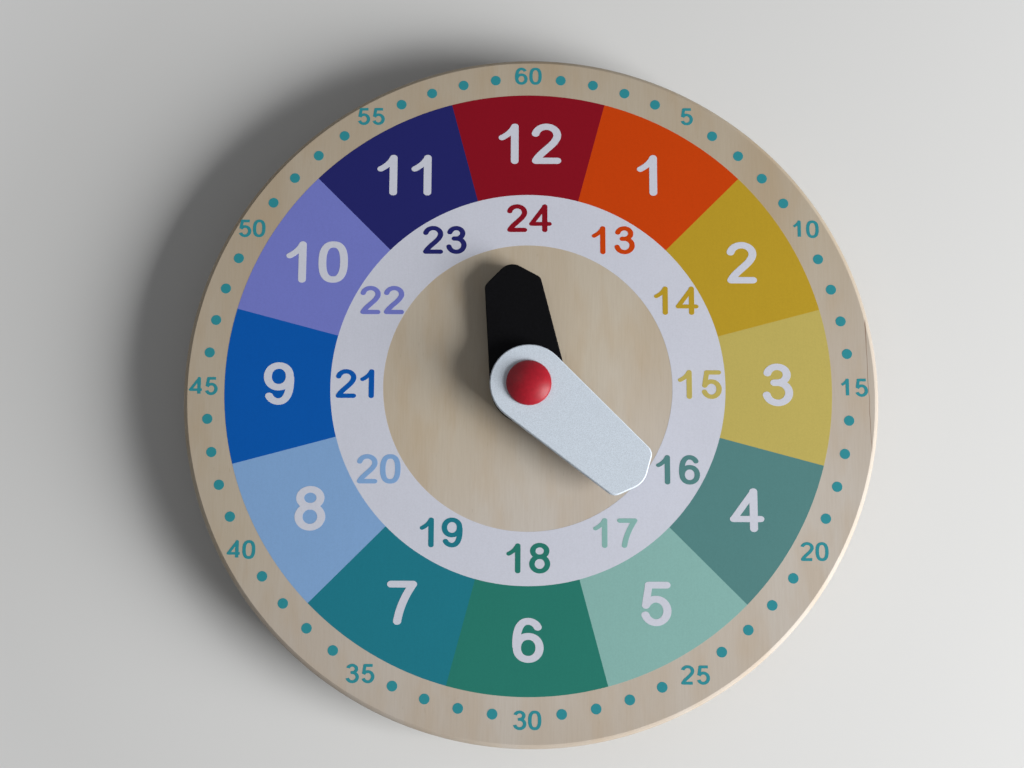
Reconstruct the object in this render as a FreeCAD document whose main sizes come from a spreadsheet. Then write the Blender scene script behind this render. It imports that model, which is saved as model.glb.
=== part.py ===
import FreeCAD, Part
import math
import os
import Sketcher
from FreeCAD import Placement, Rotation, Vector

# Geared teaching clock: a printed wooden dial with two wooden hands, driven through a 12 to 1 motion work
# in a moulded case on its back. Millimetres. The origin is where the hands' axis meets the outer plane of
# the case cover, on which the clock lies. +Z runs out through the dial, +Y points to twelve, +X to three.

# ---------------------------------------------------------------------------------------------------------
# Driving dimensions: alias, value, what it measures
# ---------------------------------------------------------------------------------------------------------
SIZES = [
    # Dial board
    ("board_radius", 149.0, "radius of the wooden disc"),
    ("board_thickness", 9.0, "thickness of the wooden disc"),
    ("face_bevel", 1.9, "sanded edge at the front of the rim"),
    ("back_chamfer", 0.8, "chamfer at the back of the rim"),
    ("board_offset_x", 0.7, "disc's centre from the hands' axis, towards three"),
    ("board_offset_y", -1.8, "disc's centre from the hands' axis, towards twelve"),
    # Centre stack
    ("arbor_radius", 2.0, "radius of the minute arbor"),
    ("pipe_wall", 1.2, "wall of the hour pipe"),
    ("bushing_wall", 1.8, "wall of the threaded bushing"),
    ("running_clearance", 0.06, "radial clearance of a turning fit"),
    ("press_clearance", 0.01, "radial clearance left in a pressed or glued fit"),
    ("hole_clearance", 0.25, "radial clearance of a hole that something passes through"),
    ("end_play", 0.2, "axial play of a turning piece"),
    ("flat_depth", 0.6, "depth of the flat on the arbor"),
    ("flange_width", 3.0, "how far the bushing's flange stands out"),
    ("flange_thickness", 1.0, "thickness of the bushing's flange"),
    ("washer_width", 4.5, "how far the dial washer stands out from the bushing"),
    ("washer_thickness", 0.6, "thickness of the dial washer"),
    ("nut_thickness", 2.0, "thickness of the bushing nut"),
    ("nut_wall", 2.2, "wall of the bushing nut, from its hole to its flats"),
    ("nut_turn", 15.0, "a nut's first corner from three, degrees"),
    ("bushing_proud", 0.2, "how far the bushing stands out of its nut"),
    ("tip_chamfer", 0.4, "chamfer at the ends of the turned pieces"),
    # Hands
    ("hand_gap", 0.6, "gap between the bushing nut and the hour hand"),
    ("hand_end_radius", 16.45, "radius of a hand's round end"),
    ("hand_bevel", 0.55, "softened front edges of the hands"),
    ("hand_chamfer", 0.4, "chamfered back edges of the hands"),
    ("shoulder_round", 3.2, "rounded corners at a hand's shoulders"),
    ("hour_hand_length", 52.8, "hour hand, from the axis to its tip"),
    ("hour_hand_thickness", 4.6, "thickness of the hour hand"),
    ("hour_shoulder_length", 45.3, "hour hand, from the axis to its shoulders"),
    ("hour_shoulder_width", 12.1, "half width of the hour hand at its shoulders"),
    ("hour_tip_round", 6.6, "radius of the hour hand's tip"),
    ("hour_hand_angle", 8.85, "hour hand from twelve, anticlockwise"),
    ("minute_hand_length", 62.6, "minute hand, from the axis to its tip"),
    ("minute_hand_thickness", 4.5, "thickness of the minute hand"),
    ("minute_shoulder_length", 57.7, "minute hand, from the axis to its shoulders"),
    ("minute_shoulder_width", 12.5, "half width of the minute hand at its shoulders"),
    ("minute_tip_round", 9.0, "radius of the minute hand's tip"),
    ("minute_hand_angle", 228.85, "minute hand from twelve, anticlockwise"),
    ("bush_wall", 1.8, "wall of a hand's bush"),
    ("bush_flange_width", 2.2, "how far a hand bush's flange stands out"),
    ("bush_flange_thickness", 0.9, "thickness of a hand bush's flange"),
    ("spacer_thickness", 0.8, "thickness of the fibre washer between the hands"),
    ("spacer_width", 4.0, "how far the fibre washer stands out from the hour pipe"),
    # Cap
    ("cap_radius", 9.5, "radius of the red cap"),
    ("cap_rim_height", 1.0, "height of the cap's straight rim"),
    ("cap_dome_height", 3.5, "height of the cap's dome"),
    ("hand_nut_thickness", 1.6, "thickness of the nut under the cap"),
    ("hand_nut_wall", 1.7, "wall of the nut under the cap, from its hole to its flats"),
    # Motion work
    ("gear_module", 1.0, "module of the first pair, cannon pinion and minute wheel"),
    ("pressure_angle", 20.0, "pressure angle, degrees"),
    ("profile_shift", 0.3, "profile shift, plus on the pinions and minus on the wheels, in modules"),
    ("root_clearance", 0.25, "room between a tooth's tip and the floor of its mate's gap, in modules"),
    ("tooth_backlash", 0.08, "taken off each tooth's thickness"),
    ("cannon_teeth", 15, "teeth of the cannon pinion"),
    ("minute_teeth", 45, "teeth of the minute wheel"),
    ("pinion_teeth", 12, "teeth of the minute pinion"),
    ("hour_teeth", 48, "teeth of the hour wheel"),
    ("wheel_thickness", 2.5, "thickness of a wheel at its rim"),
    ("web_thickness", 1.3, "thickness of a wheel's web"),
    ("rim_width", 2.6, "rim of a wheel, inside its teeth"),
    ("hub_wall", 2.6, "wall of a wheel's hub"),
    ("hub_nose", 1.9, "how far the hour wheel's hub stands out in front of its rim"),
    ("tooth_overlap", 0.5, "how far a pinion's teeth reach past the wheel, each side"),
    ("spoke_holes", 6, "round holes in a wheel's web"),
    ("spoke_hole_share", 0.62, "share of the web that a hole takes up across it"),
    ("stud_radius", 1.5, "radius of the fixed stud"),
    ("sleeve_wall", 2.2, "wall of the minute pinion's sleeve"),
    ("spring_height", 0.7, "height of the friction washer as fitted"),
    ("spring_thickness", 0.3, "thickness of the friction washer's steel"),
    ("spring_width", 2.0, "how far the friction washer stands out from the arbor"),
    # Case
    ("case_wall", 1.8, "wall of the moulded case"),
    ("cover_thickness", 2.0, "thickness of the back cover"),
    ("bearing_floor", 0.9, "plastic left behind a blind bearing hole"),
    ("wheel_space", 1.6, "space between a wheel's teeth and the case wall"),
    ("boss_wall", 2.4, "wall of a bearing boss"),
    ("boss_height", 0.7, "height of the cover's bearing bosses"),
    ("lip_height", 1.0, "height of the lip that centres the cover"),
    ("lip_thickness", 1.0, "thickness of the lip"),
    ("lip_clearance", 0.2, "clearance between the lip and the case wall"),
    ("edge_chamfer", 0.7, "chamfered outer edge of the cover"),
    ("lug_reach", 7.0, "from the case wall to a lug's screw"),
    ("lug_radius", 5.0, "rounded end of a lug"),
    ("lug_thickness", 2.6, "thickness of the lugs"),
    ("rib_thickness", 1.4, "thickness of the ribs that brace the lugs"),
    ("rib_reach", 3.2, "how far a rib runs out along its lug"),
    ("rib_rise", 6.0, "how far a rib runs back along the case wall"),
    ("screw_boss_radius", 3.4, "radius of a cover screw's boss"),
    ("end_boss_offset", 1.0, "from the case wall's outside to the screws at its two ends"),
    ("cover_screw_radius", 1.1, "shank radius of a cover screw"),
    ("cover_screw_head", 2.1, "head radius of a cover screw"),
    ("cover_screw_length", 8.5, "length of a cover screw"),
    ("case_screw_radius", 1.5, "shank radius of a case screw"),
    ("case_screw_head", 2.9, "head radius of a case screw"),
    ("case_screw_head_height", 2.0, "height of a case screw's head"),
    ("case_screw_grip", 6.0, "how deep a case screw goes into the board"),
    ("screw_point", 1.5, "length of a case screw's point"),
    ("driver_slot", 0.7, "width and depth of a screw head's slot"),
    ("slot_turn", 65.0, "how much further each screw is turned than the last, degrees"),
    # Hanging tab
    ("tab_reach", 12.0, "from the upper end screw to the keyhole's large hole"),
    ("tab_radius", 8.5, "rounded end of the hanging tab"),
    ("keyhole_radius", 4.0, "radius of the keyhole's large hole"),
    ("keyhole_slot", 2.1, "half width of the keyhole's slot"),
    ("keyhole_rise", 7.0, "from the large hole's centre up to the end of the slot"),
]

doc = FreeCAD.newDocument("geared_teaching_clock")
sheet = doc.addObject("Spreadsheet::Sheet", "sizes")
for row, (alias, number, meaning) in enumerate(SIZES, start=1):
    sheet.set(f"A{row}", alias)
    sheet.set(f"B{row}", str(number))
    sheet.setAlias(f"B{row}", alias)
    sheet.set(f"C{row}", meaning)
doc.recompute()


def value(expression):
    """The number that an expression on the sheet stands for."""
    return float(sheet.evalExpression(expression))


def total(*expressions):
    """The sum of expressions, as one expression."""
    return "(" + " + ".join(expressions) + ")"


def minus(expression):
    return f"-({expression})"


# ---------------------------------------------------------------------------------------------------------
# What follows from the driving dimensions, as expressions on the sheet
# ---------------------------------------------------------------------------------------------------------
# Radii of the centre stack, each running or pressed on the one inside it
PIPE_BORE = total("sizes.arbor_radius", "sizes.running_clearance")
PIPE_RADIUS = total(PIPE_BORE, "sizes.pipe_wall")
BUSHING_BORE = total(PIPE_RADIUS, "sizes.running_clearance")
BUSHING_RADIUS = total(BUSHING_BORE, "sizes.bushing_wall")
FLANGE_RADIUS = total(BUSHING_RADIUS, "sizes.flange_width")
STUD_BORE = total("sizes.stud_radius", "sizes.running_clearance")
SLEEVE_RADIUS = total(STUD_BORE, "sizes.sleeve_wall")
HOUR_BUSH_BORE = total(PIPE_RADIUS, "sizes.running_clearance")
HOUR_BUSH_RADIUS = total(HOUR_BUSH_BORE, "sizes.bush_wall")
MINUTE_BUSH_BORE = total("sizes.arbor_radius", "sizes.press_clearance")
MINUTE_BUSH_RADIUS = total(MINUTE_BUSH_BORE, "sizes.bush_wall")

# The gear train: both pairs span the same centre distance
CENTRE_DISTANCE = "(sizes.gear_module * (sizes.cannon_teeth + sizes.minute_teeth) / 2)"
SECOND_MODULE = f"(2 * {CENTRE_DISTANCE} / (sizes.pinion_teeth + sizes.hour_teeth))"
MINUTE_TIP = "(sizes.gear_module * (sizes.minute_teeth / 2 + 1 - sizes.profile_shift))"
HOUR_TIP = f"({SECOND_MODULE} * (sizes.hour_teeth / 2 + 1 - sizes.profile_shift))"

# Heights from the outer plane of the cover, back to front
COVER_BOSS_TOP = total("sizes.cover_thickness", "sizes.boss_height")
CANNON_BACK = total(COVER_BOSS_TOP, "sizes.spring_height")
MINUTE_WHEEL_BACK = total(CANNON_BACK, "sizes.tooth_overlap")
MINUTE_WHEEL_FRONT = total(MINUTE_WHEEL_BACK, "sizes.wheel_thickness")
CANNON_FRONT = total(MINUTE_WHEEL_FRONT, "sizes.tooth_overlap")
SLEEVE_BACK = total(COVER_BOSS_TOP, "sizes.end_play")
HOUR_HUB_BACK = total(CANNON_FRONT, "sizes.end_play")
HOUR_WHEEL_BACK = total(HOUR_HUB_BACK, "sizes.tooth_overlap")
HOUR_WHEEL_FRONT = total(HOUR_WHEEL_BACK, "sizes.wheel_thickness")
PINION_FRONT = total(HOUR_WHEEL_FRONT, "sizes.tooth_overlap")
HOUR_HUB_FRONT = total(HOUR_WHEEL_FRONT, "sizes.hub_nose")
FLANGE_BACK = total(HOUR_HUB_FRONT, "sizes.end_play")
CASE_INSIDE = total(FLANGE_BACK, "sizes.flange_thickness")
BOARD_BACK = total(CASE_INSIDE, "sizes.case_wall")
DIAL_FACE = total(BOARD_BACK, "sizes.board_thickness")
NUT_BACK = total(DIAL_FACE, "sizes.washer_thickness")
NUT_FRONT = total(NUT_BACK, "sizes.nut_thickness")
BUSHING_FRONT = total(NUT_FRONT, "sizes.bushing_proud")
HOUR_HAND_BACK = total(NUT_FRONT, "sizes.hand_gap")
HOUR_HAND_FRONT = total(HOUR_HAND_BACK, "sizes.hour_hand_thickness")
PIPE_FRONT = total(HOUR_HAND_FRONT, "sizes.spacer_thickness / 2")
MINUTE_HAND_BACK = total(HOUR_HAND_FRONT, "sizes.spacer_thickness", "sizes.end_play")
MINUTE_HAND_FRONT = total(MINUTE_HAND_BACK, "sizes.minute_hand_thickness")
HAND_NUT_FRONT = total(MINUTE_HAND_FRONT, "sizes.hand_nut_thickness")
ARBOR_BACK = total("sizes.bearing_floor", "sizes.end_play")
ARBOR_FRONT = total(HAND_NUT_FRONT, "sizes.tip_chamfer")
CAP_HOLLOW = total("sizes.hand_nut_thickness", "sizes.tip_chamfer", "sizes.end_play")

# The case hugs the two wheels: a low round end about the hands' axis, a high one about the stud
LOW_INSIDE = total(HOUR_TIP, "sizes.wheel_space")
HIGH_INSIDE = total(MINUTE_TIP, "sizes.wheel_space")
LOW_OUTSIDE = total(LOW_INSIDE, "sizes.case_wall")
HIGH_OUTSIDE = total(HIGH_INSIDE, "sizes.case_wall")

# Cover screws: one past each end of the case, and one at each side where the two wheels leave room
LOW_SCREW = minus(total(LOW_OUTSIDE, "sizes.end_boss_offset"))
HIGH_SCREW = total(CENTRE_DISTANCE, HIGH_OUTSIDE, "sizes.end_boss_offset")
SIDE_SCREW_Y = (f"(({CENTRE_DISTANCE} * {CENTRE_DISTANCE} + {HOUR_TIP} * {HOUR_TIP}"
                f" - {MINUTE_TIP} * {MINUTE_TIP}) / (2 * {CENTRE_DISTANCE}))")
SIDE_SCREW_X = f"(({LOW_INSIDE} + {HIGH_INSIDE}) / 2)"
COVER_SCREWS = [("0", LOW_SCREW), ("0", HIGH_SCREW),
                (SIDE_SCREW_X, SIDE_SCREW_Y), (minus(SIDE_SCREW_X), SIDE_SCREW_Y)]

# Case screws: two lugs level with each axis
LOW_LUG = total(LOW_OUTSIDE, "sizes.lug_reach")
HIGH_LUG = total(HIGH_OUTSIDE, "sizes.lug_reach")
CASE_SCREWS = [(LOW_LUG, "0"), (minus(LOW_LUG), "0"),
               (HIGH_LUG, CENTRE_DISTANCE), (minus(HIGH_LUG), CENTRE_DISTANCE)]
KEYHOLE_Y = total(HIGH_SCREW, "sizes.tab_reach")
TAB_END_Y = total(KEYHOLE_Y, "sizes.keyhole_rise / 2")
PILOT_RADIUS = total("sizes.cover_screw_radius", "sizes.press_clearance")


# ---------------------------------------------------------------------------------------------------------
# Sketches, features and pieces
# ---------------------------------------------------------------------------------------------------------
pieces = []


def place(piece, height="0", x="0", y="0", angle="0"):
    """Stands a piece at its height and place, turned about its own +Z."""
    turn = Rotation(Vector(0, 0, 1), value(angle))
    piece.Placement = Placement(Vector(value(x), value(y), value(height)), turn)
    for axis, expression in (("x", x), ("y", y), ("z", height)):
        piece.setExpression(f"Placement.Base.{axis}", expression)
    if value(angle):
        piece.setExpression("Placement.Rotation.Angle", angle)
    pieces.append(piece)


def new_body(label, **where):
    body = doc.addObject("PartDesign::Body", label)
    body.Label = label
    place(body, **where)
    return body


def new_sketch(body, name, height="0", role="XY_Plane"):
    """A sketch on one of the body's own planes, lifted along the plane's normal."""
    sketch = body.newObject("Sketcher::SketchObject", f"{body.Label}_{name}_sketch")
    sketch.AttachmentSupport = [(next(f for f in body.Origin.OriginFeatures if f.Role == role), "")]
    sketch.MapMode = "FlatFace"
    sketch.setExpression("AttachmentOffset.Base.z", height)
    return sketch


def bind(sketch, kind, *where_and_expression):
    """A constraint whose size follows an expression."""
    *where, expression = where_and_expression
    index = sketch.addConstraint(Sketcher.Constraint(kind, *where, value(expression)))
    sketch.setExpression(f"Constraints[{index}]", expression)


def pin_point(sketch, geometry, point, x, y):
    """Holds a point of the sketch at x, y from its origin."""
    for kind, axis, expression in (("DistanceX", -2, x), ("DistanceY", -1, y)):
        if expression == "0":
            sketch.addConstraint(Sketcher.Constraint("PointOnObject", geometry, point, axis))
        else:
            bind(sketch, kind, -1, 1, geometry, point, expression)


def draw_circle(sketch, radius, x="0", y="0"):
    circle = Part.Circle(Vector(value(x), value(y), 0), Vector(0, 0, 1), value(radius))
    index = sketch.addGeometry(circle)
    bind(sketch, "Radius", index, radius)
    pin_point(sketch, index, 3, x, y)


def add_line(sketch, start, end):
    return sketch.addGeometry(Part.LineSegment(start, end))


def add_arc(sketch, centre, radius, start, end):
    """An arc, anticlockwise between two angles in radians."""
    return sketch.addGeometry(Part.ArcOfCircle(Part.Circle(centre, Vector(0, 0, 1), radius), start, end))


def join(sketch, loop, corners=()):
    """Closes a loop of edges, each smooth into the next apart from the pairs that meet at a corner."""
    for edge, following in zip(loop, loop[1:] + loop[:1]):
        meeting = "Coincident" if (edge, following) in corners else "Tangent"
        sketch.addConstraint(Sketcher.Constraint(meeting, edge, 2, following, 1))


def draw_outline(sketch, corners):
    """A closed outline through corners, given as x and y expressions, joined by straight lines."""
    points = [Vector(value(x), value(y), 0) for x, y in corners]
    lines = [add_line(sketch, a, b) for a, b in zip(points, points[1:] + points[:1])]
    join(sketch, lines, list(zip(lines, lines[1:] + lines[:1])))
    for line, (x, y) in zip(lines, corners):
        pin_point(sketch, line, 1, x, y)


def draw_case_outline(sketch, low_radius, high_radius):
    """Two arcs, about the hands' axis and about the stud, joined by their outer tangents."""
    low, high, distance = value(low_radius), value(high_radius), value(CENTRE_DISTANCE)
    lean = math.asin((low - high) / distance)
    side = Vector(math.cos(lean), math.sin(lean), 0)
    mirrored = Vector(-side.x, side.y, 0)
    top = Vector(0, distance, 0)
    low_arc = add_arc(sketch, Vector(), low, math.pi - lean, 2 * math.pi + lean)
    right = add_line(sketch, side * low, top + side * high)
    high_arc = add_arc(sketch, top, high, lean, math.pi - lean)
    left = add_line(sketch, top + mirrored * high, mirrored * low)
    join(sketch, [low_arc, right, high_arc, left])
    pin_point(sketch, low_arc, 3, "0", "0")
    pin_point(sketch, high_arc, 3, "0", CENTRE_DISTANCE)
    bind(sketch, "Radius", low_arc, low_radius)
    bind(sketch, "Radius", high_arc, high_radius)


def draw_slot(sketch, radius, half_length, y):
    """A level slot about the +Y axis: two half circles and two lines."""
    r, reach, level = value(radius), value(half_length), value(y)
    right_end, left_end = Vector(reach, level, 0), Vector(-reach, level, 0)
    rise = Vector(0, r, 0)
    right = add_arc(sketch, right_end, r, -math.pi / 2, math.pi / 2)
    over = add_line(sketch, right_end + rise, left_end + rise)
    left = add_arc(sketch, left_end, r, math.pi / 2, 3 * math.pi / 2)
    under = add_line(sketch, left_end - rise, right_end - rise)
    join(sketch, [right, over, left, under])
    pin_point(sketch, right, 3, half_length, y)
    bind(sketch, "DistanceX", left, 3, -1, 1, half_length)
    bind(sketch, "Radius", right, radius)


def draw_hand_outline(sketch, end_radius, shoulder_width, shoulder_length, tip_radius, length):
    """A round end about the axis, sides that close in to shoulders, and two slopes up to a round tip."""
    r, half, shoulder, top, tip = (value(size) for size in
                                   (end_radius, shoulder_width, shoulder_length, tip_radius, length))
    lean = math.atan2(shoulder, half) - math.acos(r / math.hypot(half, shoulder))
    crest_centre = Vector(0, tip - top, 0)
    below = shoulder - crest_centre.y
    slope = math.atan2(below, half) + math.acos(top / math.hypot(half, below))
    foot = Vector(math.cos(lean), math.sin(lean), 0) * r
    corner = Vector(half, shoulder, 0)
    crest = crest_centre + Vector(math.cos(slope), math.sin(slope), 0) * top
    far_foot, far_corner, far_crest = (Vector(-point.x, point.y, 0) for point in (foot, corner, crest))
    end = add_arc(sketch, Vector(), r, math.pi - lean, 2 * math.pi + lean)
    right = add_line(sketch, foot, corner)
    right_slope = add_line(sketch, corner, crest)
    arch = add_arc(sketch, crest_centre, top, slope, math.pi - slope)
    left_slope = add_line(sketch, far_crest, far_corner)
    left = add_line(sketch, far_corner, far_foot)
    shoulders = [(right, right_slope), (left_slope, left)]
    join(sketch, [end, right, right_slope, arch, left_slope, left], shoulders)
    pin_point(sketch, end, 3, "0", "0")
    bind(sketch, "Radius", end, end_radius)
    pin_point(sketch, right, 2, shoulder_width, shoulder_length)
    pin_point(sketch, left, 1, minus(shoulder_width), shoulder_length)
    pin_point(sketch, arch, 3, "0", f"({length} - {tip_radius})")
    bind(sketch, "Radius", arch, tip_radius)


def pad(body, sketch, length, downward=False):
    feature = body.newObject("PartDesign::Pad", sketch.Name.replace("_sketch", "_pad"))
    feature.Profile = sketch
    feature.Reversed = downward
    feature.setExpression("Length", length)
    sketch.Visibility = False
    doc.recompute()
    return feature


def pocket(body, sketch, depth, upward=False):
    """Cuts a pocket and makes sure that it took something away."""
    feature = body.newObject("PartDesign::Pocket", sketch.Name.replace("_sketch", "_pocket"))
    feature.Profile = sketch
    feature.Reversed = upward
    feature.setExpression("Length", depth)
    doc.recompute()
    return taken_away(feature)


def revolve(body, sketch):
    """Turns a profile about the piece's own +Z."""
    feature = body.newObject("PartDesign::Revolution", sketch.Name.replace("_sketch", "_turned"))
    feature.Profile = sketch
    feature.ReferenceAxis = (sketch, ["V_Axis"])
    feature.Angle = 360
    doc.recompute()


def taken_away(feature):
    if feature.Shape.Volume >= feature.BaseFeature.Shape.Volume - 1e-6:
        raise ValueError(f"{feature.Name} cuts nothing")
    return feature


def dress(body, kind, name, size, chosen):
    """A fillet or a chamfer on the edges of the body's last feature that the test chooses."""
    base = body.Tip
    edges = [f"Edge{number}" for number, edge in enumerate(base.Shape.Edges, start=1) if chosen(edge)]
    if not edges:
        raise ValueError(f"{body.Label}: no edges for {name}")
    feature = body.newObject(f"PartDesign::{kind}", f"{body.Label}_{name}")
    feature.Base = (base, edges)
    feature.setExpression("Radius" if kind == "Fillet" else "Size", size)
    doc.recompute()
    return feature


def level(edge, height):
    """Whether an edge lies flat at a height."""
    return abs(edge.BoundBox.ZMin - height) < 1e-4 and abs(edge.BoundBox.ZMax - height) < 1e-4


def is_round(edge, radius):
    """Whether an edge is a circle, or part of one, of a radius."""
    if edge.Degenerated or not isinstance(edge.Curve, Part.Circle):
        return False
    return abs(edge.Curve.Radius - radius) < 1e-4


def is_upright(edge):
    start, end = edge.Vertexes[0].Point, edge.Vertexes[-1].Point
    return isinstance(edge.Curve, Part.Line) and (start - end).cross(Vector(0, 0, 1)).Length < 1e-6


def turned_piece(label, profile, **where):
    """A turned piece: its half profile, as radius and height expressions, swept about +Z."""
    body = new_body(label, **where)
    sketch = new_sketch(body, "profile", role="XZ_Plane")
    draw_outline(sketch, profile)
    revolve(body, sketch)
    return body


def formed_piece(label, shape, **where):
    """A piece whose form is worked out below with Part's own functions."""
    piece = doc.addObject("Part::Feature", label)
    piece.Label = label
    piece.Shape = shape
    place(piece, **where)
    return piece


def nut_corner(bore, wall):
    """The radius of a hexagon nut at its corners."""
    return f"(({bore} + {wall}) / cos(30))"


def hexagon_nut(label, bore, wall, thickness, **where):
    body = new_body(label, **where)
    blank = new_sketch(body, "blank")
    turns = [f"(sizes.nut_turn + {60 * side})" for side in range(6)]
    corner = nut_corner(bore, wall)
    draw_outline(blank, [(f"{corner} * cos({turn})", f"{corner} * sin({turn})") for turn in turns])
    pad(body, blank, thickness)
    hole = new_sketch(body, "hole", thickness)
    draw_circle(hole, bore)
    pocket(body, hole, thickness)


# ---------------------------------------------------------------------------------------------------------
# Dial board
# ---------------------------------------------------------------------------------------------------------
def make_dial_board():
    board = new_body("dial_board", height=BOARD_BACK)
    disc = new_sketch(board, "disc")
    draw_circle(disc, "sizes.board_radius", "sizes.board_offset_x", "sizes.board_offset_y")
    pad(board, disc, "sizes.board_thickness")
    rim, front = value("sizes.board_radius"), value("sizes.board_thickness")
    dress(board, "Chamfer", "face_bevel", "sizes.face_bevel", lambda e: is_round(e, rim) and level(e, front))
    dress(board, "Chamfer", "back_chamfer", "sizes.back_chamfer", lambda e: is_round(e, rim) and level(e, 0))
    centre = new_sketch(board, "centre_hole")
    draw_circle(centre, total(BUSHING_RADIUS, "sizes.hole_clearance"))
    pocket(board, centre, "2 * sizes.board_thickness", upward=True)
    pilots = new_sketch(board, "pilot_holes")
    for x, y in CASE_SCREWS:
        draw_circle(pilots, total("sizes.case_screw_radius", "sizes.press_clearance"), x, y)
    pocket(board, pilots, total("sizes.case_screw_grip", "sizes.hole_clearance"), upward=True)


# ---------------------------------------------------------------------------------------------------------
# Moulded case and its cover
# ---------------------------------------------------------------------------------------------------------
def make_gear_case():
    case = new_body("gear_case", height="sizes.cover_thickness")
    front = total(BOARD_BACK, minus("sizes.cover_thickness"))
    inside = total(CASE_INSIDE, minus("sizes.cover_thickness"))

    block = new_sketch(case, "block")
    draw_case_outline(block, LOW_OUTSIDE, HIGH_OUTSIDE)
    pad(case, block, front)
    end_bosses = new_sketch(case, "end_bosses")
    for x, y in COVER_SCREWS[:2]:
        draw_circle(end_bosses, "sizes.screw_boss_radius", x, y)
    pad(case, end_bosses, front)
    for name, reach, y in (("low_lugs", LOW_LUG, "0"), ("high_lugs", HIGH_LUG, CENTRE_DISTANCE)):
        lugs = new_sketch(case, name, front)
        draw_slot(lugs, "sizes.lug_radius", reach, y)
        pad(case, lugs, "sizes.lug_thickness", downward=True)
    for name, wall, y in (("low_ribs", LOW_OUTSIDE, "0"), ("high_ribs", HIGH_OUTSIDE, CENTRE_DISTANCE)):
        lug_back = f"({front} - sizes.lug_thickness)"
        foot = total(wall, "sizes.rib_reach")
        ribs = new_sketch(case, name, minus(y), role="XZ_Plane")
        draw_outline(ribs, [(minus(foot), lug_back), (foot, lug_back),
                            (f"{wall} - sizes.case_wall / 2", f"{lug_back} - sizes.rib_rise"),
                            (minus(f"{wall} - sizes.case_wall / 2"), f"{lug_back} - sizes.rib_rise")])
        rib_pad = pad(case, ribs, "sizes.rib_thickness")
        rib_pad.Midplane = True

    cavity = new_sketch(case, "cavity", inside)
    draw_case_outline(cavity, LOW_INSIDE, HIGH_INSIDE)
    pocket(case, cavity, inside)
    side_bosses = new_sketch(case, "side_bosses")
    for x, y in COVER_SCREWS[2:]:
        draw_circle(side_bosses, "sizes.screw_boss_radius", x, y)
    pad(case, side_bosses, inside)
    stud_boss = new_sketch(case, "stud_boss", inside)
    draw_circle(stud_boss, total("sizes.stud_radius", "sizes.boss_wall"), "0", CENTRE_DISTANCE)
    pad(case, stud_boss, f"{CASE_INSIDE} - {PINION_FRONT} - sizes.end_play", downward=True)

    stud_hole = new_sketch(case, "stud_hole", total(front, minus("sizes.bearing_floor")))
    draw_circle(stud_hole, total("sizes.stud_radius", "sizes.press_clearance"), "0", CENTRE_DISTANCE)
    pocket(case, stud_hole, front)
    bushing_hole = new_sketch(case, "bushing_hole", front)
    draw_circle(bushing_hole, total(BUSHING_RADIUS, "sizes.press_clearance"))
    pocket(case, bushing_hole, front)
    pilots = new_sketch(case, "pilot_holes")
    for x, y in COVER_SCREWS:
        draw_circle(pilots, PILOT_RADIUS, x, y)
    pocket(case, pilots, "sizes.cover_screw_length", upward=True)
    lug_holes = new_sketch(case, "lug_holes", front)
    for x, y in CASE_SCREWS:
        draw_circle(lug_holes, total("sizes.case_screw_radius", "sizes.hole_clearance"), x, y)
    pocket(case, lug_holes, "2 * sizes.lug_thickness")


def make_case_cover():
    cover = new_body("case_cover")
    thickness = "sizes.cover_thickness"
    plate = new_sketch(cover, "plate")
    draw_case_outline(plate, LOW_OUTSIDE, HIGH_OUTSIDE)
    pad(cover, plate, thickness)
    screw_pads = new_sketch(cover, "screw_pads")
    for x, y in COVER_SCREWS:
        draw_circle(screw_pads, "sizes.screw_boss_radius", x, y)
    pad(cover, screw_pads, thickness)

    tab = new_sketch(cover, "hanging_tab")
    draw_tab(tab, "sizes.tab_radius", HIGH_SCREW, TAB_END_Y)
    pad(cover, tab, thickness)
    dress(cover, "Chamfer", "edge_chamfer", "sizes.edge_chamfer", lambda e: level(e, 0))

    lip = new_sketch(cover, "lip", thickness)
    lip_gap = "sizes.lip_clearance"
    draw_case_outline(lip, f"{LOW_INSIDE} - {lip_gap}", f"{HIGH_INSIDE} - {lip_gap}")
    draw_case_outline(lip, f"{LOW_INSIDE} - {lip_gap} - sizes.lip_thickness",
                      f"{HIGH_INSIDE} - {lip_gap} - sizes.lip_thickness")
    pad(cover, lip, "sizes.lip_height")
    reliefs = new_sketch(cover, "lip_reliefs", total(thickness, "sizes.lip_height"))
    for x, y in COVER_SCREWS[2:]:
        draw_circle(reliefs, total("sizes.screw_boss_radius", lip_gap), x, y)
    pocket(cover, reliefs, "sizes.lip_height")

    bosses = new_sketch(cover, "bearing_bosses", thickness)
    draw_circle(bosses, total(PIPE_BORE, "sizes.boss_wall"))
    draw_circle(bosses, total("sizes.stud_radius", "sizes.boss_wall"), "0", CENTRE_DISTANCE)
    pad(cover, bosses, "sizes.boss_height")
    bearings = new_sketch(cover, "bearing_holes", "sizes.bearing_floor")
    draw_circle(bearings, PIPE_BORE)
    draw_circle(bearings, total("sizes.stud_radius", "sizes.press_clearance"), "0", CENTRE_DISTANCE)
    pocket(cover, bearings, COVER_BOSS_TOP, upward=True)

    screw_holes = new_sketch(cover, "screw_holes")
    hole_radius = total("sizes.cover_screw_radius", "sizes.hole_clearance")
    for x, y in COVER_SCREWS:
        draw_circle(screw_holes, hole_radius, x, y)
    pocket(cover, screw_holes, thickness, upward=True)
    dress(cover, "Chamfer", "countersinks", "sizes.cover_screw_head - sizes.cover_screw_radius",
          lambda e: is_round(e, value(hole_radius)) and level(e, 0))
    keyhole = new_sketch(cover, "keyhole")
    draw_keyhole(keyhole)
    pocket(cover, keyhole, thickness, upward=True)


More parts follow.
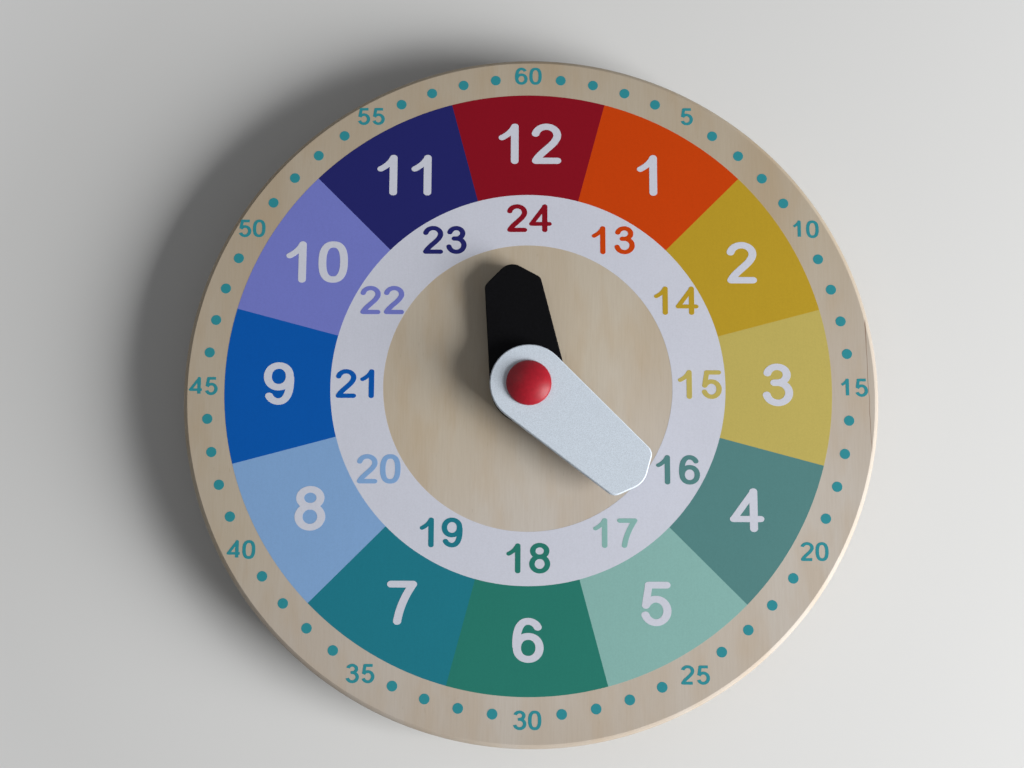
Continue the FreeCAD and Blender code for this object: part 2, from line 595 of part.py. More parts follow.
def draw_tab(sketch, radius, foot_y, end_y):
    """A tongue that rises along +Y to a round end."""
    r, foot, end = value(radius), value(foot_y), value(end_y)
    arc = add_arc(sketch, Vector(0, end, 0), r, 0, math.pi)
    left = add_line(sketch, Vector(-r, end, 0), Vector(-r, foot, 0))
    base = add_line(sketch, Vector(-r, foot, 0), Vector(r, foot, 0))
    right = add_line(sketch, Vector(r, foot, 0), Vector(r, end, 0))
    join(sketch, [arc, left, base, right], [(left, base), (base, right)])
    sketch.addConstraint(Sketcher.Constraint("Horizontal", base))
    sketch.addConstraint(Sketcher.Constraint("Vertical", left))
    pin_point(sketch, arc, 3, "0", end_y)
    bind(sketch, "Radius", arc, radius)
    bind(sketch, "DistanceY", -1, 1, base, 1, foot_y)


def draw_keyhole(sketch):
    """A large round hole with a round-ended slot rising from it."""
    r, half, centre, rise = (value(size) for size in
                             ("sizes.keyhole_radius", "sizes.keyhole_slot", KEYHOLE_Y, "sizes.keyhole_rise"))
    mouth = math.acos(half / r)
    low, high = centre + r * math.sin(mouth), centre + rise
    large = add_arc(sketch, Vector(0, centre, 0), r, math.pi - mouth, 2 * math.pi + mouth)
    right = add_line(sketch, Vector(half, low, 0), Vector(half, high, 0))
    small = add_arc(sketch, Vector(0, high, 0), half, 0, math.pi)
    left = add_line(sketch, Vector(-half, high, 0), Vector(-half, low, 0))
    join(sketch, [large, right, small, left], [(large, right), (left, large)])
    sketch.addConstraint(Sketcher.Constraint("Vertical", right))
    sketch.addConstraint(Sketcher.Constraint("Vertical", left))
    pin_point(sketch, large, 3, "0", KEYHOLE_Y)
    bind(sketch, "Radius", large, "sizes.keyhole_radius")
    pin_point(sketch, small, 3, "0", total(KEYHOLE_Y, "sizes.keyhole_rise"))
    bind(sketch, "Radius", small, "sizes.keyhole_slot")


# ---------------------------------------------------------------------------------------------------------
# Screws
# ---------------------------------------------------------------------------------------------------------
def turned_screw(profile, slot_back):
    """One screw about +Z from its half profile, with a slot cut into its head."""
    wire = Part.makePolygon([Vector(radius, 0, height) for radius, height in profile + profile[:1]])
    screw = Part.Face(wire).revolve(Vector(), Vector(0, 0, 1), 360)
    width = value("sizes.driver_slot")
    across = 4 * max(radius for radius, _ in profile)
    slot = Part.makeBox(across, width, 2 * width, Vector(-across / 2, -width / 2, slot_back - width))
    return screw.cut(slot)


def screw_group(label, screw, places, height):
    """Copies of a screw at its places, each turned a little further than the last."""
    copies = []
    for number, (x, y) in enumerate(places):
        copy = screw.copy()
        turn = Rotation(Vector(0, 0, 1), value("sizes.slot_turn") * number)
        copy.Placement = Placement(Vector(value(x), value(y), 0), turn)
        copies.append(copy)
    formed_piece(label, Part.makeCompound(copies), height=height)


def make_case_screws():
    """Round-headed wood screws with points."""
    head, shank = value("sizes.case_screw_head"), value("sizes.case_screw_radius")
    head_height, point = value("sizes.case_screw_head_height"), value("sizes.screw_point")
    end = value(total("sizes.lug_thickness", "sizes.case_screw_grip"))
    crown = head - head_height / 2
    profile = [(0, -head_height), (crown, -head_height), (head, -head_height / 2), (head, 0), (shank, 0),
               (shank, end - point), (0, end)]
    back = f"{BOARD_BACK} - sizes.lug_thickness"
    screw_group("case_screws", turned_screw(profile, -head_height), CASE_SCREWS, back)


def make_cover_screws():
    """Countersunk screws with blunt ends, for plastic."""
    head, shank = value("sizes.cover_screw_head"), value("sizes.cover_screw_radius")
    end, sunk = value("sizes.cover_screw_length"), value("sizes.press_clearance")
    profile = [(0, sunk), (head, sunk), (shank, sunk + head - shank), (shank, end), (0, end)]
    screw_group("cover_screws", turned_screw(profile, sunk), COVER_SCREWS, "0")


# ---------------------------------------------------------------------------------------------------------
# Turned pieces of the centre stack
# ---------------------------------------------------------------------------------------------------------
def make_centre_bushing():
    length = total(BUSHING_FRONT, minus(FLANGE_BACK))
    chamfer = "sizes.tip_chamfer"
    turned_piece("centre_bushing", [
        (BUSHING_BORE, "0"), (FLANGE_RADIUS, "0"), (FLANGE_RADIUS, "sizes.flange_thickness"),
        (BUSHING_RADIUS, "sizes.flange_thickness"), (BUSHING_RADIUS, f"{length} - {chamfer}"),
        (f"{BUSHING_RADIUS} - {chamfer}", length), (BUSHING_BORE, length)], height=FLANGE_BACK)


def make_washers():
    bore = total(BUSHING_RADIUS, "sizes.hole_clearance")
    rim = total(BUSHING_RADIUS, "sizes.washer_width")
    turned_piece("dial_washer", ring_profile(bore, rim, "sizes.washer_thickness"), height=DIAL_FACE)
    bore = total(PIPE_RADIUS, "sizes.hole_clearance")
    rim = total(PIPE_RADIUS, "sizes.spacer_width")
    turned_piece("hand_spacer", ring_profile(bore, rim, "sizes.spacer_thickness"), height=HOUR_HAND_FRONT)


def ring_profile(bore, rim, thickness):
    return [(bore, "0"), (rim, "0"), (rim, thickness), (bore, thickness)]


def make_friction_washer():
    """A dished ring: it stands on its wide edge and presses the cannon pinion with its narrow one."""
    bore = total("sizes.arbor_radius", "sizes.hole_clearance")
    rim = total("sizes.arbor_radius", "sizes.spring_width")
    top = "(sizes.spring_height - sizes.press_clearance)"
    turned_piece("friction_washer", [
        (rim, "0"), (rim, "sizes.spring_thickness"), (bore, top), (bore, f"{top} - sizes.spring_thickness")],
        height=COVER_BOSS_TOP)


def make_minute_arbor():
    length = total(ARBOR_FRONT, minus(ARBOR_BACK))
    chamfer, radius = "sizes.tip_chamfer", "sizes.arbor_radius"
    arbor = turned_piece("minute_arbor", [
        ("0", "0"), (f"{radius} - {chamfer}", "0"), (radius, chamfer), (radius, f"{length} - {chamfer}"),
        (f"{radius} - {chamfer}", length), ("0", length)], height=ARBOR_BACK)
    flat = new_sketch(arbor, "flat", length)
    draw_outline(flat, flat_outline(f"{radius} - sizes.flat_depth"))
    pocket(arbor, flat, total(ARBOR_FRONT, minus(MINUTE_HAND_BACK)))


def flat_outline(distance):
    """A block on the +X side of the axis, starting at a distance from it."""
    far = "2 * sizes.arbor_radius"
    return [(distance, minus(far)), (far, minus(far)), (far, far), (distance, far)]


def make_hour_pipe():
    length = total(PIPE_FRONT, minus(HOUR_HUB_BACK))
    chamfer = "sizes.tip_chamfer"
    turned_piece("hour_pipe", [
        (PIPE_BORE, "0"), (PIPE_RADIUS, "0"), (PIPE_RADIUS, f"{length} - {chamfer}"),
        (f"{PIPE_RADIUS} - {chamfer}", length), (PIPE_BORE, length)], height=HOUR_HUB_BACK)


def make_stud():
    length = total(BOARD_BACK, minus("2 * sizes.bearing_floor"), minus("2 * sizes.press_clearance"))
    chamfer, radius = "sizes.tip_chamfer", "sizes.stud_radius"
    turned_piece("intermediate_stud", [
        ("0", "0"), (f"{radius} - {chamfer}", "0"), (radius, chamfer), (radius, f"{length} - {chamfer}"),
        (f"{radius} - {chamfer}", length), ("0", length)],
        height=total("sizes.bearing_floor", "sizes.press_clearance"), y=CENTRE_DISTANCE)


def make_hand_bushes():
    flange = "sizes.bush_flange_thickness"
    rim = total(HOUR_BUSH_RADIUS, "sizes.bush_flange_width")
    turned_piece("hour_hand_bush", [
        (HOUR_BUSH_BORE, "0"), (rim, "0"), (rim, flange), (HOUR_BUSH_RADIUS, flange),
        (HOUR_BUSH_RADIUS, "sizes.hour_hand_thickness"), (HOUR_BUSH_BORE, "sizes.hour_hand_thickness")],
        height=HOUR_HAND_BACK)
    rim = total(MINUTE_BUSH_RADIUS, "sizes.bush_flange_width")
    length = "sizes.minute_hand_thickness"
    bush = turned_piece("minute_hand_bush", [
        ("0", "0"), (MINUTE_BUSH_RADIUS, "0"), (MINUTE_BUSH_RADIUS, f"{length} - {flange}"),
        (rim, f"{length} - {flange}"), (rim, length), ("0", length)], height=MINUTE_HAND_BACK)
    bore = new_sketch(bush, "bore", length)
    draw_flatted_circle(bore, MINUTE_BUSH_BORE, total("sizes.arbor_radius", minus("sizes.flat_depth"),
                                                      "sizes.press_clearance"))
    pocket(bush, bore, length)


def draw_flatted_circle(sketch, radius, flat):
    """A circle cut off by a straight line at a distance on its +X side."""
    r, distance = value(radius), value(flat)
    turn = math.acos(distance / r)
    half = r * math.sin(turn)
    arc = add_arc(sketch, Vector(), r, turn, 2 * math.pi - turn)
    line = add_line(sketch, Vector(distance, -half, 0), Vector(distance, half, 0))
    join(sketch, [arc, line], [(arc, line), (line, arc)])
    sketch.addConstraint(Sketcher.Constraint("Vertical", line))
    pin_point(sketch, arc, 3, "0", "0")
    bind(sketch, "Radius", arc, radius)
    bind(sketch, "DistanceX", -1, 1, line, 1, flat)


# ---------------------------------------------------------------------------------------------------------
# Hands and cap
# ---------------------------------------------------------------------------------------------------------
def make_hand(label, size, bush_radius, flange_at_back, height, angle):
    """A wooden hand along its own +Y, with a stepped hole for its bush."""
    hand = new_body(label, height=height, angle=angle)
    thickness = f"sizes.{size}_hand_thickness"
    outline = new_sketch(hand, "outline")
    draw_hand_outline(outline, "sizes.hand_end_radius", f"sizes.{size}_shoulder_width",
                      f"sizes.{size}_shoulder_length", f"sizes.{size}_tip_round", f"sizes.{size}_hand_length")
    pad(hand, outline, thickness)
    shoulder = value(f"sizes.{size}_shoulder_length")
    dress(hand, "Fillet", "shoulders", "sizes.shoulder_round",
          lambda e: is_upright(e) and abs(e.Vertexes[0].Y - shoulder) < 1e-4)
    front = value(thickness)
    dress(hand, "Chamfer", "front_edges", "sizes.hand_bevel", lambda e: level(e, front))
    dress(hand, "Chamfer", "back_edges", "sizes.hand_chamfer", lambda e: level(e, 0))
    hole = new_sketch(hand, "bush_hole")
    draw_circle(hole, total(bush_radius, "sizes.press_clearance"))
    pocket(hand, hole, thickness, upward=True)
    seat = new_sketch(hand, "flange_seat", "0" if flange_at_back else thickness)
    draw_circle(seat, total(bush_radius, "sizes.bush_flange_width", "sizes.press_clearance"))
    pocket(hand, seat, "sizes.bush_flange_thickness", upward=flange_at_back)


def make_centre_cap():
    cap = new_body("centre_cap", height=MINUTE_HAND_FRONT)
    radius, rim, dome = "sizes.cap_radius", "sizes.cap_rim_height", "sizes.cap_dome_height"
    dome_radius = f"(({radius})^2 + ({dome})^2) / (2 * {dome})"
    profile = new_sketch(cap, "profile", role="XZ_Plane")
    r, low, rise, big = value(radius), value(rim), value(dome), value(dome_radius)
    centre = Vector(0, low + rise - big, 0)
    base = add_line(profile, Vector(), Vector(r, 0, 0))
    side = add_line(profile, Vector(r, 0, 0), Vector(r, low, 0))
    arch = add_arc(profile, centre, big, math.atan2(low - centre.y, r), math.pi / 2)
    axis = add_line(profile, Vector(0, low + rise, 0), Vector())
    join(profile, [base, side, arch, axis], [(base, side), (side, arch), (arch, axis), (axis, base)])
    pin_point(profile, base, 1, "0", "0")
    pin_point(profile, side, 1, radius, "0")
    pin_point(profile, arch, 1, radius, rim)
    pin_point(profile, axis, 1, "0", total(rim, dome))
    bind(profile, "Radius", arch, dome_radius)
    revolve(cap, profile)
    hollow = new_sketch(cap, "hollow")
    draw_circle(hollow, total(nut_corner(MINUTE_BUSH_BORE, "sizes.hand_nut_wall"), "sizes.press_clearance"))
    pocket(cap, hollow, CAP_HOLLOW, upward=True)


# ---------------------------------------------------------------------------------------------------------
# Gears
# ---------------------------------------------------------------------------------------------------------
def involute(base_radius, radius):
    """The angle swept by an involute of the base circle when it has reached the radius."""
    roll = math.sqrt(max((radius / base_radius) ** 2 - 1, 0))
    return roll - math.atan(roll)


def root_radius(module, teeth, shift):
    """The radius at the floor of the gaps between a gear's teeth."""
    return module * (teeth / 2 - 1 - value("sizes.root_clearance") + shift)


def toothed_face(module, teeth, shift, first_tooth):
    """The outline of an involute gear about the origin, with one tooth centred on the angle first_tooth.

    Each flank is the arc through three points of its involute, which starts at the base circle, or just above
    the root where the base circle lies deeper. Below it the gap's sides run straight in to a flat floor.
    """
    pressure = math.radians(value("sizes.pressure_angle"))
    pitch = module * teeth / 2
    base = pitch * math.cos(pressure)
    tip = pitch + module * (1 + shift)
    root = root_radius(module, teeth, shift)
    start = max(base, root + module * value("sizes.root_clearance"))
    thickness = module * (math.pi / 2 + 2 * shift * math.tan(pressure)) - value("sizes.tooth_backlash")
    half_tooth = thickness / (2 * pitch) + involute(base, pitch)

    def at(radius, turn):
        return Vector(radius * math.cos(turn), radius * math.sin(turn), 0)

    radii = [start, (start + tip) / 2, tip]
    half_foot = half_tooth - involute(base, start)
    edges = []
    for tooth in range(teeth):
        middle = first_tooth + 2 * math.pi * tooth / teeth
        rising = [at(r, middle - half_tooth + involute(base, r)) for r in radii]
        falling = [at(r, middle + half_tooth - involute(base, r)) for r in reversed(radii)]
        for arc in (rising, [rising[-1], at(tip, middle), falling[0]], falling):
            edges.append(Part.Arc(*arc).toShape())
        this_side, far_side = middle + half_foot, middle + 2 * math.pi / teeth - half_foot
        gap = [at(start, this_side), at(root, this_side), at(root, far_side), at(start, far_side)]
        edges += [Part.LineSegment(a, b).toShape() for a, b in zip(gap, gap[1:])]
    return Part.Face(Part.Wire(edges))


def ring(outside, inside, thickness, height):
    """A flat ring about +Z."""
    outer = Part.makeCylinder(outside, thickness, Vector(0, 0, height))
    return outer.cut(Part.makeCylinder(inside, thickness, Vector(0, 0, height)))


def wheel(module, teeth, bore, hub_back, hub_front, first_tooth):
    """A moulded wheel: teeth and rim, a thinner web at its back with round holes, and a hub."""
    shift = -value("sizes.profile_shift")
    thickness, web = value("sizes.wheel_thickness"), value("sizes.web_thickness")
    hub = bore + value("sizes.hub_wall")
    rim = root_radius(module, teeth, shift) - value("sizes.rim_width")
    solid = toothed_face(module, teeth, shift, first_tooth).extrude(Vector(0, 0, thickness))
    solid = solid.cut(ring(rim, hub, thickness - web, web))
    middle = (rim + hub) / 2
    hole = (rim - hub) / 2 * value("sizes.spoke_hole_share")
    count = int(value("sizes.spoke_holes"))
    for number in range(count):
        turn = 2 * math.pi * (number + 0.5) / count
        spot = Vector(middle * math.cos(turn), middle * math.sin(turn), 0)
        solid = solid.cut(Part.makeCylinder(hole, web, spot))
    if hub_front - hub_back > thickness:
        solid = solid.fuse(Part.makeCylinder(hub, hub_front - hub_back, Vector(0, 0, hub_back)))
    return solid.cut(Part.makeCylinder(bore, hub_front - hub_back, Vector(0, 0, hub_back))).removeSplitter()


def pinion(module, teeth, length, first_tooth):
    shift = value("sizes.profile_shift")
    return toothed_face(module, teeth, shift, first_tooth).extrude(Vector(0, 0, length))


def make_gears():
    """The 12 to 1 train. On the line to the stud, +Y, each driver has a tooth and each mate a gap."""
    towards_stud, towards_axis = math.pi / 2, 3 * math.pi / 2
    first_module, second_module = value("sizes.gear_module"), value(SECOND_MODULE)
    press = value("sizes.press_clearance")
    cannon_teeth, minute_teeth, pinion_teeth, hour_teeth = (
        int(value(f"sizes.{name}_teeth")) for name in ("cannon", "minute", "pinion", "hour"))

    length = value(CANNON_FRONT) - value(CANNON_BACK)
    cannon = pinion(first_module, cannon_teeth, length, towards_stud)
    cannon = cannon.cut(Part.makeCylinder(value("sizes.arbor_radius") + press, length))
    formed_piece("cannon_pinion", cannon, height=CANNON_BACK)

    gap_inward = towards_axis + math.pi / minute_teeth
    thickness = value("sizes.wheel_thickness")
    sleeve = value(SLEEVE_RADIUS)
    minute_wheel = wheel(first_module, minute_teeth, sleeve + press, 0, thickness, gap_inward)
    formed_piece("minute_wheel", minute_wheel, height=MINUTE_WHEEL_BACK, y=CENTRE_DISTANCE)

    sleeve_length = value(MINUTE_WHEEL_FRONT) - value(SLEEVE_BACK)
    leaves = value(PINION_FRONT) - value(MINUTE_WHEEL_FRONT)
    gap_inward = towards_axis + math.pi / pinion_teeth
    minute_pinion = pinion(second_module, pinion_teeth, leaves, gap_inward)
    minute_pinion.translate(Vector(0, 0, sleeve_length))
    minute_pinion = minute_pinion.fuse(Part.makeCylinder(sleeve, sleeve_length))
    minute_pinion = minute_pinion.cut(Part.makeCylinder(value(STUD_BORE), sleeve_length + leaves))
    formed_piece("minute_pinion", minute_pinion, height=SLEEVE_BACK, y=CENTRE_DISTANCE)

    hub_back = value(HOUR_HUB_BACK) - value(HOUR_WHEEL_BACK)
    hub_front = value(HOUR_HUB_FRONT) - value(HOUR_WHEEL_BACK)
    bore = value(PIPE_RADIUS) + press
    hour_wheel = wheel(second_module, hour_teeth, bore, hub_back, hub_front, towards_stud)
    formed_piece("hour_wheel", hour_wheel, height=HOUR_WHEEL_BACK)


# ---------------------------------------------------------------------------------------------------------
# The whole clock
# ---------------------------------------------------------------------------------------------------------
make_dial_board()
make_gear_case()
make_case_cover()
make_case_screws()
make_cover_screws()
make_centre_bushing()
make_washers()
hexagon_nut("bushing_nut", total(BUSHING_RADIUS, "sizes.press_clearance"), "sizes.nut_wall",
            "sizes.nut_thickness", height=NUT_BACK)
make_friction_washer()
make_stud()
make_minute_arbor()
make_hour_pipe()
make_gears()
make_hand_bushes()
make_hand("hour_hand", "hour", HOUR_BUSH_RADIUS, True, HOUR_HAND_BACK, "sizes.hour_hand_angle")
make_hand("minute_hand", "minute", MINUTE_BUSH_RADIUS, False, MINUTE_HAND_BACK, "sizes.minute_hand_angle")
hexagon_nut("hand_nut", MINUTE_BUSH_BORE, "sizes.hand_nut_wall", "sizes.hand_nut_thickness",
            height=MINUTE_HAND_FRONT)
make_centre_cap()
doc.recompute()

for thing in doc.Objects:
    if {"Invalid", "Error"} & set(thing.State):
        raise ValueError(f"{thing.Name} failed: {thing.State}")
os.makedirs("parts", exist_ok=True)
for piece in pieces:
    if piece.Shape.isNull() or not piece.Shape.isValid():
        raise ValueError(f"{piece.Label} has no valid shape")
for piece in pieces:
    piece.Shape.exportStep(os.path.join("parts", f"{piece.Label}.step"))
    print(f"{piece.Label}: {len(piece.Shape.Solids)} solid(s), {piece.Shape.Volume:.1f} mm3")
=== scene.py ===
import functools
import math

import bmesh
import bpy
from mathutils import Matrix, Vector
from mathutils.geometry import delaunay_2d_cdt


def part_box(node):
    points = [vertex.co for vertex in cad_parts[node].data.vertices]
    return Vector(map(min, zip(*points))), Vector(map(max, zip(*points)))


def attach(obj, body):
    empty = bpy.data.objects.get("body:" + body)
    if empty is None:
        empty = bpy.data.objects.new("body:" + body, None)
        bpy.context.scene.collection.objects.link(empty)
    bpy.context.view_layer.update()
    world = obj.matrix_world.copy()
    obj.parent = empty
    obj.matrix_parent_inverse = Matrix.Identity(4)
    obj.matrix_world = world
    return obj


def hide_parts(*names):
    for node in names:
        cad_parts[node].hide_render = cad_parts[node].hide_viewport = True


# The looks of the teaching clock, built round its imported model. Lengths below are millimetres; MM turns
# them into Blender's metres. The origin is where the hands' axis meets the plane that the clock lies on,
# +Z runs out through the dial and +Y points to twelve.

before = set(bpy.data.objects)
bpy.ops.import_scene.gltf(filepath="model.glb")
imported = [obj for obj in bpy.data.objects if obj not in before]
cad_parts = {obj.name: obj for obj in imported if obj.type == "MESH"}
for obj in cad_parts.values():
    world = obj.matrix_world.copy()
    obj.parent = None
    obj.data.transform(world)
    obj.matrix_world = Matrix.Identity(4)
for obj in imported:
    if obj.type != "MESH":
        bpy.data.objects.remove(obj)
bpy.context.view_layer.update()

MM = 0.001

# ---------------------------------------------------------------------------------------------------------
# Driving dimensions
# ---------------------------------------------------------------------------------------------------------
# The photograph's camera: its place, the point it looks at, its roll in degrees, and its lens
CAMERA_PLACE = Vector((-2.46, -80.97, 585.3))
CAMERA_TARGET = Vector((-7.16, 1.43, 24.0))
CAMERA_ROLL = 0.22
CAMERA_LENS = 46.55
SENSOR_WIDTH = 36.0

# The slanted edges of board and hands: how many degrees they lean from the face and from the wall at their
# ends, and the steps between
EDGE_LEAN = 22
EDGE_STEPS = 4

# Dial board: the sanded front edge, the chamfer at the back, the bushing hole's radius, and its plies
FACE_BEVEL = 1.9
BACK_CHAMFER = 0.8
CENTRE_HOLE = 5.37
PLIES = 5

# Crack in the veneer: its place and slant, its ends, how far it strays, half its width below and at the
# top, how far under the top it starts and stops opening, how softly it ends, and how strongly it shows
CRACK_X, CRACK_SLANT = 145.25, -0.018
CRACK_TOP, CRACK_FOOT = 30.5, -28.0
CRACK_STRAY = 0.16
CRACK_HALF_WIDTH = 0.14, 0.3
CRACK_OPENS = 13, 2
CRACK_FADE = 2.5
CRACK_STRENGTH = 0.75

# Painted light over the veneer: the middle of a painted pool of light, how far from there the painted shade
# starts and stops getting darker, and by what share; how far below a line through the axis a painted tint of
# cool light starts and stops getting stronger, and how steeply that line rises to the right
PAINTED_LIGHT_SPOT = (25, -35)
PAINTED_SHADE_REACH = 60, 185
PAINTED_SHADE_SHARE = 0.38
PAINTED_COOL_REACH = 0, 60
PAINTED_COOL_SLANT = 0.5

# Glue lines between the plies: half of one, and where it has faded out, as shares of a ply
GLUE_LINE = 0.02, 0.05

# Print on the dial: its centre from the hands' axis, and radii about that centre. For each row of numbers:
# the circle it stands on, how far it is moved up, and its height. At six the numbers stand lower by a drop,
# and the hours' circle is stretched along Y. INK is how thick a layer of ink lies.
PRINT_CENTRE = Vector((-0.45, 0.42))
RING_INNER = 61.95
RING_OUTER = 84.6
SECTOR_OUTER = 130.05
DOT_CIRCLE = 137.7
DOT_RADIUS = 2.2
HOUR_CIRCLE, HOUR_RISE, HOUR_HEIGHT = 106.4, 0.95, 18.4
DAY_CIRCLE, DAY_RISE, DAY_HEIGHT = 73.15, 1.0, 12.5
MINUTE_CIRCLE, MINUTE_RISE, MINUTE_HEIGHT = 139.2, -0.2, 7.9
BOTTOM_DROP = 0.9
HOUR_STRETCH = 1.005
HOUR_ANGLE = 30
INK = 0.04

# Digits, drawn at the hours' size: the pen's width in upright and in level strokes, the cell that each
# stands in, how close the ends of strokes share a joint, and how close points count as one
PEN_WIDTH = 3.4
PEN_HEIGHT = 2.8
CELL_WIDTH = 15.0
JOINT_REACH = 0.5
SAME_POINT = 1e-6
WELD = 1e-5

# Straight steps that stand for a curve: the degrees that a step of an arc spans at most, and for the other
# curves the number of steps in the whole
ARC_STEP = 9
OVAL_STEPS = 56
BEND_STEPS = 14
PEN_END_STEPS = 24
DOT_STEPS = 28
RING_STEPS = 240
SECTOR_STEPS = 20

# Hands: the round end's radius, the soft front and back edges and the depth of the bush's seat; then for
# each hand half its width and its length at the shoulders, its roundings, its length from the axis, its turn
# from twelve in degrees, anticlockwise, and the radii of the bush's hole and seat
HAND_END = 16.45
HAND_BEVEL = 0.45
HAND_CHAMFER = 0.4
SEAT_DEPTH = 0.9
HOUR_HAND = {"shoulder": (12.1, 45.3), "shoulder_round": 3.2, "tip_round": 6.6, "length": 52.8,
             "turn": 8.85, "hole": 5.13, "seat": 7.33}
MINUTE_HAND = {"shoulder": (12.5, 57.7), "shoulder_round": 4.6, "tip_round": 9.0, "length": 62.6,
               "turn": 228.85, "hole": 3.82, "seat": 6.02}

# Cap: its straight rim's height and soft edge, its hollow, the flat at its top, and the steps of its dome
# from rim to top and round the axis
CAP_RIM = 1.0
CAP_SOFTENING = 0.25
CAP_HOLLOW_RADIUS = 4.29
CAP_HOLLOW_DEPTH = 2.2
CAP_FLAT = 0.2
CAP_STEPS = 24
CAP_SIDES = 96

# Colours, linear, as painted or printed; the wood's is also multiplied, low and right, by a painted tint of
# cool light
SECTOR_COLOURS = {
    12: (0.224, 0.0022, 0.0106),
    1: (0.54, 0.0485, 0.0003),
    2: (0.452, 0.294, 0.0188),
    3: (0.484, 0.395, 0.103),
    4: (0.0806, 0.211, 0.207),
    5: (0.228, 0.427, 0.393),
    6: (0.0178, 0.175, 0.1345),
    7: (0.0118, 0.175, 0.231),
    8: (0.209, 0.363, 0.614),
    9: (0.0004, 0.0894, 0.394),
    10: (0.166, 0.189, 0.544),
    11: (0.013, 0.0147, 0.121),
}
PRINT_WHITE = (0.575, 0.59, 0.668)
MINUTE_TEAL = (0.027, 0.24, 0.28)
WOOD_PALE = (0.535, 0.476, 0.386)
WOOD_WARM = (0.44, 0.33, 0.208)
# Painted cool light: not a colour but the factor that tints the wood low and right
PAINTED_COOL_LIGHT_TINT = (1.015, 1.05, 1.165)
CRACK_BROWN = (0.17, 0.085, 0.05)
BLACK_PAINT = (0.003, 0.003, 0.0037)
SILVER_PAINT = (0.60, 0.668, 0.745)
RED_PAINT = (0.315, 0.0044, 0.0145)
BRASS = (0.72, 0.50, 0.20)
ZINC = (0.62, 0.63, 0.65)
BARE_STEEL = (0.56, 0.56, 0.57)
SPRING_STEEL = (0.33, 0.33, 0.36)
CASE_GREY = (0.74, 0.73, 0.68)
COVER_GREY = (0.71, 0.70, 0.65)
ACETAL_WHITE = (0.84, 0.84, 0.79)
FIBRE_BLACK = (0.028, 0.026, 0.025)

# Lamps, in metres and watts: the point they shine on, and the place, side and power of each
LAMP_TARGET = (0, 0, 0.02)
WINDOW_LAMP = {"place": (1.67, -0.74, 0.81), "side": 1.12, "power": 76.0}
FILL_LAMP = {"place": (-0.7, 0.5, 1.1), "side": 0.8, "power": 0.8}

# Surround: its colour, its level where it is looked at, and its level as light
SURROUND_COLOUR = (0.97, 0.98, 1.0)
SURROUND_SEEN, SURROUND_LIGHT = 0.73, 0.15

# Floor: its colour, where it starts and ends fading into the surround in millimetres from the axis, and in
# metres half its side and its height, a hair below the clock's back
FLOOR_COLOUR = (0.70, 0.70, 0.69)
FLOOR_FADE = 250, 620
FLOOR_REACH = 6.0
FLOOR_HEIGHT = -0.0001


# ---------------------------------------------------------------------------------------------------------
# Camera, light and floor
# ---------------------------------------------------------------------------------------------------------
def make_camera():
    """The photograph's camera, upright but for its roll."""
    forward = (CAMERA_TARGET - CAMERA_PLACE).normalized()
    right = forward.cross(Vector((0, 1, 0))).normalized()
    turn = Matrix((right, right.cross(forward), -forward)).transposed()
    turn = Matrix.Rotation(math.radians(CAMERA_ROLL), 3, -forward) @ turn
    data = bpy.data.cameras.new("camera")
    data.lens = CAMERA_LENS
    data.sensor_width = SENSOR_WIDTH
    camera = bpy.data.objects.new("camera", data)
    camera.matrix_world = Matrix.LocRotScale(CAMERA_PLACE * MM, turn, None)
    bpy.context.scene.collection.objects.link(camera)
    bpy.context.scene.camera = camera


def make_lamp(name, place, side, power):
    """A square soft light that shines on the clock's middle."""
    data = bpy.data.lights.new(name, "AREA")
    data.size = side
    data.energy = power
    lamp = bpy.data.objects.new(name, data)
    lamp.location = place
    lamp.rotation_euler = (Vector(LAMP_TARGET) - Vector(place)).to_track_quat("-Z", "Y").to_euler()
    bpy.context.scene.collection.objects.link(lamp)


def seen_share(tree):
    """1 where the camera, a reflection or glass looks, and 0 where light is gathered."""
    path = tree.nodes.new("ShaderNodeLightPath")
    seen = maths(tree, "MAXIMUM", path.outputs["Is Camera Ray"], path.outputs["Is Glossy Ray"])
    return maths(tree, "MAXIMUM", seen, path.outputs["Is Transmission Ray"])


def make_world():
    """A surround that lights the clock softly and looks pale where the camera or a reflection meets it."""
    world = bpy.data.worlds.new("studio")
    bpy.context.scene.world = world
    world.use_nodes = True
    tree = world.node_tree
    level = maths(tree, "MULTIPLY_ADD", seen_share(tree), SURROUND_SEEN - SURROUND_LIGHT, SURROUND_LIGHT)
    background = tree.nodes["Background"]
    background.inputs["Color"].default_value = (*SURROUND_COLOUR, 1)
    tree.links.new(level, background.inputs["Strength"])


def make_floor():
    """A sheet of pale paper that keeps the clock's shadow and runs out into the surround."""
    mesh = bpy.data.meshes.new("floor")
    signs = (-1, -1), (1, -1), (1, 1), (-1, 1)
    corners = [(x * FLOOR_REACH, y * FLOOR_REACH, FLOOR_HEIGHT) for x, y in signs]
    mesh.from_pydata(corners, [], [(0, 1, 2, 3)])
    floor = bpy.data.objects.new("floor", mesh)
    bpy.context.scene.collection.objects.link(floor)
    material, tree, shader = new_material("floor_paper")
    set_inputs(shader, {"Base Color": (*FLOOR_COLOUR, 1), "Roughness": 0.9, "Specular IOR Level": 0.0})
    away = tree.nodes.new("ShaderNodeVectorMath")
    away.operation = "LENGTH"
    tree.links.new(point_on_piece(tree), away.inputs[0])
    fade = spread(tree, away.outputs["Value"], *FLOOR_FADE)
    glow = tree.nodes.new("ShaderNodeEmission")
    set_inputs(glow, {"Color": (*SURROUND_COLOUR, 1), "Strength": SURROUND_SEEN})
    blend = tree.nodes.new("ShaderNodeMixShader")
    share = maths(tree, "MULTIPLY", fade, seen_share(tree))
    for socket, source in zip(blend.inputs, (share, shader.outputs[0], glow.outputs[0])):
        tree.links.new(source, socket)
    tree.links.new(blend.outputs[0], tree.nodes["Material Output"].inputs["Surface"])
    mesh.materials.append(material)


